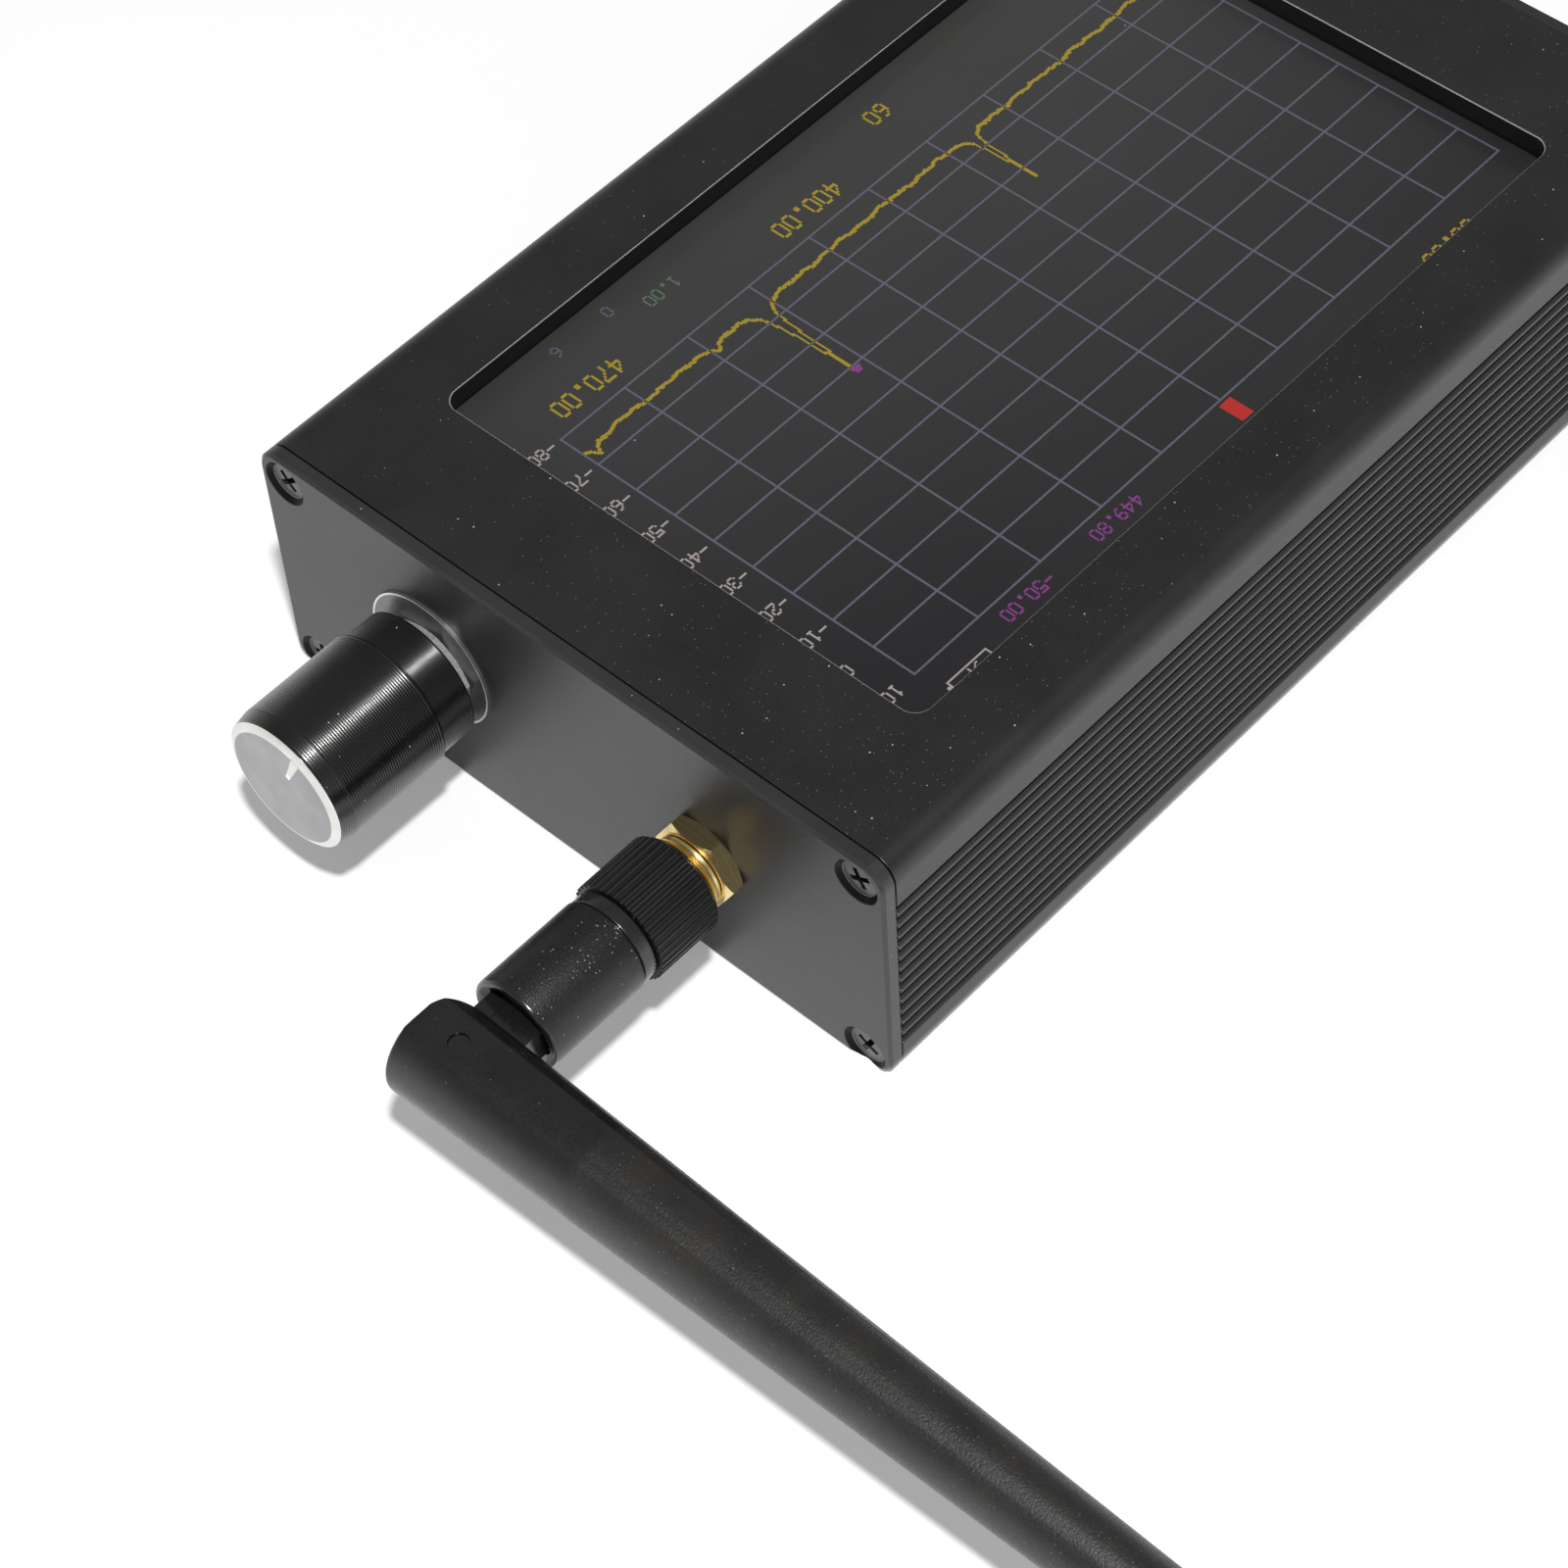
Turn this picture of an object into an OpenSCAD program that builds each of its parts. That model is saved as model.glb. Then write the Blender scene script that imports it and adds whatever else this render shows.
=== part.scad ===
// Handheld spectrum analyzer with a push-and-turn knob and an elbow antenna.
// The origin is the centre of the case's underside. +X points out of the control panel,
// +Y to the antenna's side and +Z up. All sizes are in millimetres.

/* [Case] */
// Length over both end panels
body_l = 117; // [98:0.5:140]
// Width of the case
body_w = 73.6; // [62:0.2:90]
// Height of the case
body_h = 28.7; // [24:0.1:34]
// Thickness of the grooved side walls
side_wall = 2.5; // [2:0.1:2.7]
// Thickness of the roof round the window
roof_t = 2; // [1.6:0.1:2.3]
// Thickness of the floor
floor_t = 2; // [1.6:0.1:2.4]
// Radius of the four long edges
edge_r = 2.3; // [1:0.1:2.8]
// Number of grooves along each side
groove_count = 13; // [5:1:13]
// Width of one groove
groove_w = 1.05; // [0.7:0.05:1.2]
// Depth of one groove
groove_depth = 0.6; // [0.3:0.05:0.9]
// Height of the lowest groove's lower edge
groove_low = 3.9; // [3.2:0.1:4.6]
// Distance from the top to the plain band's lower edge
groove_drop = 4.78; // [4.5:0.02:5.5]

/* [Window and display] */
// Distance from the face of an end panel to the window
window_end = 14.35; // [14:0.05:17]
// Distance from the case's side to the window
window_side = 8.8; // [8.6:0.1:11]
// Corner radius of the window
window_r = 1.8; // [1:0.1:3]
// Depth of the display's surface below the roof's outside
lcd_depth = 2.76; // [2.5:0.02:3.2]
// How far the display glass reaches past each end of the window
glass_end = 2.55; // [2.2:0.05:2.8]
// How far the display glass reaches past each side of the window
glass_side = 2.1; // [1.6:0.1:2.2]
// Thickness of the display glass with its polarisers
glass_t = 1.5; // [1.2:0.1:1.8]
// Thickness of the backlight under the glass
backlight_t = 2.3; // [2:0.1:2.6]
// Distance from the face of an end panel to the board that carries the display
display_board_end = 5; // [4.6:0.1:5.4]

/* [End panels and screws] */
// Thickness of an end panel
panel_t = 1.6; // [1.4:0.1:2]
// Chamfer round an end panel's outer face
panel_chamfer = 0.3; // [0.1:0.05:0.5]
// Width of the fine line between an end panel and the case
panel_seam = 0.2; // [0.1:0.05:0.3]
// Distance from the case's side to a screw's axis
screw_inset = 3.04; // [3:0.02:3.3]
// Distance from the top to an upper screw's axis
screw_drop = 2.9; // [2.8:0.1:3.2]
// Height of a lower screw's axis
screw_rise = 2; // [1.9:0.05:2.4]
// Radius of the countersink at the panel's face
sink_r = 2.4; // [2.3:0.05:2.6]
// Depth of a screw's head below the panel's face
head_recess = 0.45; // [0.3:0.05:0.5]
// Radius of a panel screw's shank
screw_r = 1.2; // [1:0.05:1.25]
// Length of a panel screw
screw_l = 9; // [6:0.5:12]

/* [Encoder and knob] */
// Distance from the case's side to the encoder's axis
encoder_side = 20.15; // [18.8:0.05:21]
// Height of the encoder's axis above the middle of the case
encoder_lift = 0.3; // [0:0.05:0.6]
// Radius of the washer under the encoder's nut
washer_r = 7.15; // [6.5:0.05:7.5]
// How far the loose washer sits above the encoder's axis
washer_rise = 0.5; // [0:0.1:0.5]
// How far the loose washer sits to the side of the encoder's axis
washer_slip = 0.2; // [0:0.1:0.3]
// Thickness of the washer
washer_t = 0.3; // [0.2:0.05:0.5]
// Width across the flats of the encoder's nut
encoder_nut_af = 9.2; // [8.8:0.1:9.8]
// Thickness of the encoder's nut
encoder_nut_t = 2; // [1.6:0.1:2.4]
// Angle by which the encoder's nut is turned from a corner pointing along +Y
nut_turn = 12.6; // [0:0.2:60]
// Radius of the threaded bushing
bushing_r = 3.5; // [3.4:0.05:3.7]
// Radius of the encoder's shaft
shaft_r = 3; // [2.8:0.05:3.1]
// Travel of the shaft when the knob is pressed
push_travel = 0.5; // [0.3:0.05:0.7]
// Distance from the panel's face to the knob's rear rim
knob_gap = 1.7; // [1.2:0.1:2.2]
// Distance from the panel's face to the knob's front
knob_reach = 18.6; // [17.5:0.1:21]
// Radius of the knob
knob_r = 7.1; // [7:0.05:8]
// Radius of the knob's rear skirt
skirt_r = 6.7; // [6.5:0.05:6.9]
// Length of the knob's rear skirt
skirt_l = 4; // [2:0.1:5]
// Length of the smooth, slightly tapered nose in front of the knob's grip
nose_l = 2; // [1.2:0.1:3]
// Radial taper of the nose
nose_taper = 0.3; // [0.1:0.05:0.5]
// Radial width of the bevel round the knob's front
bevel_w = 0.75; // [0.5:0.05:1.2]
// Axial depth of the bevel round the knob's front
bevel_d = 0.4; // [0.3:0.1:0.8]
// Angle of the knob's pointer from +Y towards +Z
pointer_angle = 65; // [0:5:355]

/* [Antenna socket] */
// Distance from the case's other side to the socket's axis
antenna_side = 20.5; // [19:0.1:21.5]
// Height of the socket's axis above the middle of the case
antenna_lift = 0.25; // [0.1:0.05:0.4]
// Radius of the socket's threaded barrel
barrel_r = 3.2; // [3.1:0.05:3.3]
// Length of the barrel in front of the panel
barrel_l = 8.5; // [8:0.1:9]
// Width across the flats of the socket's nut
socket_nut_af = 8; // [7.6:0.1:8.6]
// Thickness of the socket's nut
socket_nut_t = 2; // [1.6:0.1:2.4]

/* [Antenna] */
// Distance from the panel's face to the coupling nut
coupling_start = 3.5; // [3:0.1:3.8]
// Length of the coupling nut
coupling_l = 7.3; // [7:0.1:8.5]
// Radius of the coupling nut
coupling_r = 5.05; // [4.8:0.05:5.5]
// Number of flutes round the coupling nut
flute_count = 40; // [24:2:48]
// Length of the smooth collar after the coupling nut
collar_l = 1.5; // [1:0.1:2]
// Radius of the smooth collar
collar_r = 4.55; // [4.3:0.05:4.8]
// Length of the base sleeve
sleeve_l = 10.9; // [9:0.1:14]
// Radius of the base sleeve
sleeve_r = 4.65; // [4.4:0.05:4.8]
// Distance from the base sleeve's end to the hinge's axis
hinge_gap = 5.9; // [5.8:0.1:6.5]
// Radius of the whip at the hinge
whip_r = 4.73; // [4.6:0.01:5]
// Radius of the whip's tip
tip_r = 3; // [2.8:0.1:4]
// Length of the whip from the hinge's axis to its tip
whip_l = 80; // [60:1:160]
// Length of the whip behind the hinge's axis
whip_back = 4.5; // [4.2:0.1:4.8]
// Radius of the hinge pin
hinge_pin_r = 1; // [0.8:0.05:1.2]
// Thickness of the hinge's tongue
tongue_t = 3.4; // [3:0.1:3.8]
// Width of the hinge's tongue
tongue_w = 6; // [5.4:0.1:6.2]

/* [Boards and battery] */
// Thickness of the main board
main_board_t = 1.6; // [1.4:0.1:1.8]
// Thickness of the display's board and of the encoder's board
small_board_t = 1.2; // [1:0.1:1.6]
// Distance from the rear panel's face to the battery
battery_rear = 10.5; // [8:0.5:14]
// Distance from the front panel's face to the battery
battery_front = 46.5; // [36:0.5:60]
// Distance from the case's side to the battery
battery_side = 11.8; // [10:0.2:18]
// Thickness of the battery
battery_t = 6; // [4:0.5:7]

/* [Rear panel] */
// Distance from the case's centre to the power switch
switch_y = 18; // [14:0.5:22]
// Travel of the power switch
switch_travel = 2; // [1.5:0.1:2.5]
// Distance from the case's centre to the charging socket, on the other side
usb_y = 14; // [10:0.5:18]
// Width of the charging socket
usb_w = 8.94; // [8.5:0.02:9.2]
// Height of the charging socket
usb_h = 3.26; // [3:0.02:3.4]

/* [Hidden] */
$fn = 64;

// Overrun of a cut past the surface that it opens
over = 1;
// Free play of a turning or sliding fit, measured on the radius
running = 0.05;
// Gap between two pieces that are fixed to each other
seat_gap = 0.02;
// Gap where two pieces move past each other without guiding
free_gap = 0.15;
// Facets round a rounded plate that is hulled
hull_fn = 32;

// Case
case_l = body_l - 2 * panel_t;
case_end = case_l / 2;
face = body_l / 2;
cavity_w = body_w - 2 * side_wall;
cavity_h = body_h - roof_t - floor_t;
cavity_top = body_h - roof_t;
groove_pitch = (body_h - groove_low - groove_drop) / groove_count;
encoder_y = body_w / 2 - encoder_side;
encoder_z = body_h / 2 + encoder_lift;
antenna_y = body_w / 2 - antenna_side;
antenna_z = body_h / 2 + antenna_lift;
port_wall = 1.15;
port_hole_r = screw_r + running;
port_r = port_hole_r + port_wall;
port_y = body_w / 2 - screw_inset;
port_heights = [screw_rise, body_h - screw_drop];

// Main board in its rails
pin_drop = 0.4;
board_top = antenna_z - pin_drop;
board_bottom = board_top - main_board_t;
rail_t = 1.2;
rail_reach = 1.6;
rail_gap = 0.1;
board_w = cavity_w - 4 * rail_gap;
board_end_gap = 2.6;
board_end = case_end - board_end_gap;

// Display stack
window_l = body_l - 2 * window_end;
window_w = body_w - 2 * window_side;
glass_l = window_l + 2 * glass_end;
glass_w = window_w + 2 * glass_side;
display_board_l = body_l - 2 * display_board_end;
lcd_top = body_h - lcd_depth;
gasket_t = lcd_depth - roof_t;
gasket_margin = 0.3;
frame_wall = 0.5;
frame_lip = 0.8;
frame_l = glass_l + 2 * frame_wall;
frame_w = glass_w + 2 * frame_wall;
glass_bottom = lcd_top - glass_t;
frame_bottom = glass_bottom - backlight_t;
display_board_top = frame_bottom;
display_board_bottom = display_board_top - small_board_t;
display_board_gap = 1;
display_board_w = cavity_w - 2 * display_board_gap;
ribbon_w = 24;
ribbon_t = 0.25;
ribbon_reach = 1.6;
spacer_x = display_board_l / 2 - small_board_t - port_r;
spacer_side = 4.3;
spacer_y = cavity_w / 2 - spacer_side;
spacer_r = 2.1;
spacer_bore_r = 1.1;
spacer_l = display_board_bottom - board_top;
board_screw_r = spacer_bore_r - running;
board_screw_head_r = 1.9;
board_screw_head_t = 1.2;
board_screw_reach = spacer_l / 3;

// Encoder, measured from the panel's outer face
body_depth = 6.6;
encoder_w = 12.4;
encoder_h = 13.2;
bushing_l = 5;
bushing_bore_r = shaft_r + running;
nut_hole_r = bushing_r + running;
chamber_gap = 0.4;
chamber_r = shaft_r + chamber_gap;
chamber_wall = 0.7;
plunger_t = 0.5;
plunger_step = 0.2;
plunger_r = shaft_r - plunger_step;
shaft_tip_gap = 3.1;
flat_depth = 1.4;
flat_l = 7;
shaft_back = panel_t + body_depth - chamber_wall - plunger_t - push_travel - 2 * running;
encoder_board_w = 14;
header_w = 12.7;
header_h = 2.5;
header_depth = 2.54;
header_pins = 5;
header_pitch = 2.54;
header_pin_w = 0.64;
notch_gap = 0.6;
knob_front_t = 2;
knob_wall = 0.8;
knob_bore_r = skirt_r - knob_wall;
core_gap = 0.7;
core_start = bushing_l + core_gap;
core_end = knob_reach - knob_front_t - seat_gap;
pointer_w = 0.7;
pointer_l = 3.6;
face_r = knob_r - nose_taper - bevel_w;
pointer_depth = 0.35;

// Antenna socket, measured from the panel's outer face
flange_t = 1.6;
flange_w = 8;
leg_w = 1;
leg_l = 4.5;
insulator_r = 2.05;
contact_r = 0.62;
contact_bore_r = 0.47;
contact_l = 2.2;
pin_r = contact_bore_r - running;
pin_l = 2.4;

// Antenna, measured from the panel's outer face
coupling_end = coupling_start + coupling_l;
thread_wall = 0.65;
thread_bore_r = barrel_r + running;
thread_r = thread_bore_r + thread_wall;
coupling_bore_r = thread_r + seat_gap;
flute_r = 0.28;
coupling_taper = 0.55;
flute_margin = 0.9;
catch_t = 1.2;
core_r = 2.9;
core_step = 0.5;
core_flange_r = core_r + core_step;
collar_start = coupling_end + free_gap;
collar_end = collar_start + collar_l;
sleeve_end = collar_end + sleeve_l;
core_tail = 1.5;
knuckle_r = 3.4;
hinge_x = sleeve_end + hinge_gap;
tongue_gap = 0.15;
plug_sink = 0.8;
tongue_round_r = tongue_w / 2;
slot_side_gap = 0.3;
slot_reach = tongue_round_r + slot_side_gap;
rim_round = 0.5;
whip_flat = 0.52;
whip_flat_l = 15.4;
flat_z = whip_r - whip_flat;
tip_round = 1.6;
radiator_start = 5.8;
radiator_r = 1.9;
radiator_l = 38;
wire_r = 0.6;
tip_wall = 4;
taper = (whip_r - tip_r) / whip_l;

// Rear panel
slider_w = 2.2;
slider_foot = 0.6;
slider_out = 1.6;
switch_l = 6;
switch_w = 10;
switch_share = 0.68;
switch_h = switch_share * spacer_l;
slider_share = 0.33;
slider_t = slider_share * switch_h;
switch_z = board_top + switch_h / 2;
foot_l = 1;
foot_depth = 1.2;
usb_l = 7.4;
usb_wall = 0.3;
usb_corner = 1.2;
usb_tongue_w = 6.7;
usb_tongue_t = 0.7;
usb_gap = 0.25;
usb_z = board_top + usb_h / 2;
light_r = 1;
light_y = 3;
light_base = 2.4;
light_z = board_top + light_base / 2;
light_l = 3;

// Cans and chips: places as shares of the main board's half length and half width,
// then length, width and height as shares of the largest chip
can_shares = [0.48, -0.04];
can_share = 0.22;
can_l = can_share * 2 * board_end;
chip_w = 10;
chip_h = 1.5;
can_chip_w = 6;
chip_shares = [
    [0.48, -0.35, 1, 1, 0.9], [0.15, -0.65, 0.6, 0.5, 0.8], [-0.08, -0.3, 0.8, 0.5, 1],
    [-0.62, 0.18, 0.5, 0.4, 1], [-0.7, -0.68, 0.6, 0.6, 1.6]
];

// Battery
pad_t = 0.6;
battery_l = body_l - battery_rear - battery_front;
battery_w = body_w - 2 * battery_side;
battery_x = -face + battery_rear + battery_l / 2;
battery_corner = 1.5;
lead_r = 0.6;
lead_pitch = 2.2;
plug_l = 5;
plug_w = 7;
plug_h = 3;
lead_l = 9;
plug_x = battery_x + battery_l / 2 + lead_l;
lead_z = floor_t + pad_t + battery_t / 2;

// Connector between the two boards
connector_l = 5;
connector_w = 26;
connector_share = 0.55;
connector_x = -connector_share * board_end;
connector_y = -12;

// A rounded rectangle centred on the origin, built from exact arcs
module rounded_rect(w, h, r) {
    square([w - 2 * r, h], center = true);
    square([w, h - 2 * r], center = true);
    for (sx = [-1, 1], sy = [-1, 1])
        translate([sx * (w / 2 - r), sy * (h / 2 - r)]) circle(r = r);
}

// Turns a drawing in the Y and Z directions into a bar that runs from x0 to x1
module bar_x(x0, x1) {
    translate([x0, 0, 0]) rotate([90, 0, 90]) linear_extrude(x1 - x0) children();
}

// A box given by its lowest corner and its size
module block(low, size) {
    translate(low) cube(size);
}

// Places a piece, drawn along its own Z axis, on the encoder's axis at the panel's face
module at_encoder() {
    translate([face, -encoder_y, encoder_z]) rotate([0, 90, 0]) children();
}

// Places a piece, drawn along its own Z axis, on the antenna's axis at the panel's face
module at_socket() {
    translate([face, antenna_y, antenna_z]) rotate([0, 90, 0]) children();
}

// Places a piece at the antenna's hinge
module at_hinge() {
    translate([face + hinge_x, antenna_y, antenna_z]) children();
}

// A cylinder between two places on its own Z axis
module rod(r, z0, z1) {
    translate([0, 0, z0]) cylinder(r = r, h = z1 - z0);
}

// A tube between two places on its own Z axis
module tube(r, bore, z0, z1) {
    difference() {
        rod(r, z0, z1);
        rod(bore, z0 - over, z1 + over);
    }
}

// A hexagon nut between two places on its own Z axis, bevelled at both ends
module hex_nut(af, bore, z0, z1, bevel) {
    corner_r = af / sqrt(3);
    difference() {
        intersection() {
            translate([0, 0, z0]) rotate([0, 0, 30]) cylinder(r = corner_r, h = z1 - z0, $fn = 6);
            rotate_extrude()
                polygon([
                    [0, z0], [af / 2, z0], [corner_r + seat_gap, z0 + bevel],
                    [corner_r + seat_gap, z1 - bevel], [af / 2, z1], [0, z1]
                ]);
        }
        rod(bore, z0 - over, z1 + over);
    }
}

// The case: one extruded tube with grooved sides, screw ports and rails for the main board
module case_profile() {
    difference() {
        intersection() {
            translate([0, body_h / 2]) rounded_rect(body_w, body_h, edge_r);
            union() {
                difference() {
                    translate([-body_w / 2, 0]) square([body_w, body_h]);
                    translate([-cavity_w / 2, floor_t]) square([cavity_w, cavity_h]);
                }
                for (s = [-1, 1]) {
                    for (z = port_heights) translate([s * port_y, z]) circle(r = port_r);
                    rails(s);
                }
            }
        }
        for (s = [-1, 1], z = port_heights) translate([s * port_y, z]) circle(r = port_hole_r);
        for (s = [-1, 1], i = [0 : groove_count - 1])
            translate([s * body_w / 2, groove_low + groove_w / 2 + i * groove_pitch])
                square([2 * groove_depth, groove_w], center = true);
    }
}

module rails(s) {
    x = s > 0 ? cavity_w / 2 - rail_reach : -cavity_w / 2 - rail_t;
    translate([x, board_bottom - rail_gap - rail_t]) square([rail_reach + rail_t, rail_t]);
    translate([x, board_top + rail_gap]) square([rail_reach + rail_t, rail_t]);
}

module case_tube() {
    color([0.06, 0.06, 0.065])
    difference() {
        bar_x(-case_end, case_end) case_profile();
        translate([0, 0, cavity_top - over])
            linear_extrude(roof_t + 2 * over) rounded_rect(window_l, window_w, window_r);
    }
}

// A plate that closes the case, drawn at the front end with its four countersunk holes.
// Its rear edge is bevelled, which leaves a fine line between plate and case.
module end_panel() {
    difference() {
        hull() {
            panel_layer(panel_seam, panel_t - panel_chamfer, 0);
            panel_layer(0, panel_t, panel_chamfer);
        }
        for (s = [-1, 1], z = port_heights)
            translate([face, s * port_y, z]) rotate([0, 90, 0]) {
                rod(port_hole_r, -panel_t - over, over);
                cone(sink_r, screw_r, 0);
            }
    }
}

module panel_layer(x0, x1, inset) {
    translate([case_end, 0, body_h / 2])
        bar_x(x0, x1)
            rounded_rect(body_w - 2 * inset, body_h - 2 * inset, edge_r - inset, $fn = hull_fn);
}

// A 90 degree countersink or screw head, from radius r1 at height z down to radius r0
module cone(r1, r0, z) {
    translate([0, 0, z - (r1 - r0)]) cylinder(r1 = r0, r2 = r1, h = r1 - r0);
}

module front_panel() {
    color([0.2, 0.2, 0.21])
    difference() {
        end_panel();
        at_encoder() rod(nut_hole_r, -panel_t - over, over);
        at_socket() rod(barrel_r + running, -panel_t - over, over);
    }
}

module rear_panel() {
    slot_w = slider_w + switch_travel + 2 * free_gap;
    color([0.2, 0.2, 0.21])
    difference() {
        mirror([1, 0, 0]) end_panel();
        translate([0, -usb_y, usb_z]) bar_x(-face - over, -case_end + over)
            rounded_rect(usb_w + 2 * usb_gap, usb_h + 2 * usb_gap, usb_corner + usb_gap);
        translate([0, switch_y, switch_z]) bar_x(-face - over, -case_end + over)
            square([slot_w, slider_t + 2 * free_gap], center = true);
        translate([-face - over, light_y, light_z])
            rotate([0, 90, 0]) rod(light_r + running, 0, panel_t + 2 * over);
    }
}

// Countersunk screw along X, drawn with its head at the front panel
module panel_screw() {
    top = -head_recess;
    head_r = sink_r - head_recess - seat_gap;
    cross_w = 0.5;
    cross_share = 1.2;
    cross_l = cross_share * head_r;
    cross_depth = 0.7;
    difference() {
        union() {
            cone(head_r, screw_r, top);
            rod(screw_r, top - screw_l, top - (head_r - screw_r));
        }
        for (a = [45, 135])
            rotate([0, 0, a])
                translate([-cross_l / 2, -cross_w / 2, top - cross_depth])
                    cube([cross_l, cross_w, cross_depth + over]);
    }
}

module panel_screws() {
    for (s = [-1, 1], z = port_heights)
        translate([face, s * port_y, z]) rotate([0, 90, 0]) panel_screw();
}

module front_panel_screws() {
    color([0.42, 0.42, 0.43]) panel_screws();
}

module rear_panel_screws() {
    color([0.42, 0.42, 0.43]) mirror([1, 0, 0]) panel_screws();
}

// Foam ring between the roof and the display glass
module window_gasket() {
    color([0.03, 0.03, 0.03])
    translate([0, 0, lcd_top]) linear_extrude(gasket_t)
        difference() {
            square([glass_l - 2 * gasket_margin, glass_w - 2 * gasket_margin], center = true);
            rounded_rect(window_l + 2 * gasket_margin, window_w + 2 * gasket_margin, window_r);
        }
}

module display_glass() {
    color([0.14, 0.14, 0.15])
    translate([0, 0, glass_bottom + glass_t / 2])
        cube([glass_l - 2 * seat_gap, glass_w - 2 * seat_gap, glass_t], center = true);
}

// Tray that holds the light guide and carries the glass
module display_backlight() {
    color([0.75, 0.76, 0.78])
    difference() {
        block([-frame_l / 2, -frame_w / 2, frame_bottom], [frame_l, frame_w, backlight_t + frame_lip]);
        block([-glass_l / 2, -glass_w / 2, glass_bottom], [glass_l, glass_w, frame_lip + over]);
    }
}

// Room left in a board for the encoder and its own board
module encoder_notch() {
    w = encoder_board_w + 2 * notch_gap;
    x0 = face - panel_t - body_depth - small_board_t - notch_gap;
    block([x0, -encoder_y - w / 2, 0], [body_l, w, body_h]);
}

module board_holes(z) {
    for (sx = [-1, 1], sy = [-1, 1])
        translate([sx * spacer_x, sy * spacer_y, z]) cylinder(r = spacer_bore_r, h = body_h / 2, center = true);
}

module display_board() {
    color([0.1, 0.35, 0.2])
    difference() {
        block([-display_board_l / 2, -display_board_w / 2, display_board_bottom],
              [display_board_l, display_board_w, small_board_t]);
        encoder_notch();
        board_holes(display_board_bottom);
    }
}

// Flat ribbon that leaves the glass at its rear edge and folds under the display's board
module display_ribbon() {
    run = (display_board_l - frame_l) / 2 + ribbon_reach + connector_l;
    low = display_board_bottom - ribbon_t;
    slit = -display_board_l / 2 - ribbon_reach;
    rise = frame_bottom + frame_lip - low;
    color([0.7, 0.5, 0.2]) {
        block([slit, -ribbon_w / 2, low], [ribbon_t, ribbon_w, rise]);
        block([slit, -ribbon_w / 2, low], [run, ribbon_w, ribbon_t]);
        block([slit, -ribbon_w / 2, low + rise - ribbon_t],
              [-frame_l / 2 - slit, ribbon_w, ribbon_t]);
    }
}

module board_spacers() {
    color([0.8, 0.7, 0.4])
    for (sx = [-1, 1], sy = [-1, 1])
        translate([sx * spacer_x, sy * spacer_y, 0])
            tube(spacer_r, spacer_bore_r, board_top, display_board_bottom);
}

module board_screws() {
    color([0.75, 0.75, 0.77])
    for (sx = [-1, 1], sy = [-1, 1])
        translate([sx * spacer_x, sy * spacer_y, 0]) {
            rod(board_screw_head_r, display_board_top, display_board_top + board_screw_head_t);
            rod(board_screw_r, display_board_bottom - board_screw_reach, display_board_top);
            rod(board_screw_head_r, board_bottom - board_screw_head_t, board_bottom);
            rod(board_screw_r, board_bottom, board_top + board_screw_reach);
        }
}

// Main board, held at both sides by the case's rails
module main_board() {
    color([0.06, 0.3, 0.16])
    difference() {
        block([-board_end, -board_w / 2, board_bottom], [2 * board_end, board_w, main_board_t]);
        encoder_notch();
        board_holes(board_top);
    }
}

// Tin cans over the receiver's stages
module shield_cans() {
    can_h = 3;
    can_w = 22;
    can_wall = 0.4;
    color([0.78, 0.78, 0.8])
    for (share = can_shares)
        translate([share * board_end, antenna_y, board_top])
            difference() {
                block([-can_l / 2, -can_w / 2, 0], [can_l, can_w, can_h]);
                block([-can_l / 2 + can_wall, -can_w / 2 + can_wall, -over],
                      [can_l - 2 * can_wall, can_w - 2 * can_wall, can_h - can_wall + over]);
            }
}

// Processor, memory and charger, and a chip inside each can
module board_chips() {
    color([0.08, 0.08, 0.09]) {
        for (c = chip_shares)
            translate([c[0] * board_end, c[1] * board_w / 2, board_top])
                chip(c[2] * chip_w, c[3] * chip_w, c[4] * chip_h);
        for (share = can_shares)
            translate([share * board_end, antenna_y, board_top]) chip(can_chip_w, can_chip_w, chip_h);
    }
}

module chip(l, w, h) {
    block([-l / 2, -w / 2, 0], [l, w, h]);
}

// Board-to-board connector
module board_connector() {
    low_h = spacer_l / 2;
    rim = 0.8;
    color([0.12, 0.12, 0.13]) {
        block([connector_x, connector_y - connector_w / 2, board_top], [connector_l, connector_w, low_h]);
        block([connector_x + rim, connector_y - connector_w / 2 + rim, board_top + low_h],
              [connector_l - 2 * rim, connector_w - 2 * rim, spacer_l - low_h]);
    }
}

module battery() {
    color([0.7, 0.72, 0.75])
    translate([battery_x, 0, floor_t + pad_t + battery_t / 2])
        rotate([90, 0, 90]) translate([0, 0, -battery_l / 2])
            linear_extrude(battery_l) rounded_rect(battery_w, battery_t, battery_corner);
}

module battery_pad() {
    color([0.2, 0.2, 0.2])
    block([battery_x - battery_l / 2 + battery_corner, -battery_w / 2 + battery_corner, floor_t],
          [battery_l - 2 * battery_corner, battery_w - 2 * battery_corner, pad_t]);
}

// Two wires from the battery to a plug under the main board
module battery_lead() {
    x0 = battery_x + battery_l / 2;
    run = plug_x - x0;
    plug_low = board_bottom - plug_h;
    color([0.65, 0.1, 0.08]) {
        block([plug_x, -plug_w / 2, plug_low], [plug_l, plug_w, plug_h]);
        for (s = [-1, 1])
            translate([0, s * lead_pitch / 2, 0]) {
                wire([x0, 0, lead_z], [x0 + run / 2, 0, lead_z]);
                wire([x0 + run / 2, 0, lead_z], [plug_x, 0, plug_low + plug_h / 2]);
            }
    }
}

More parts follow.
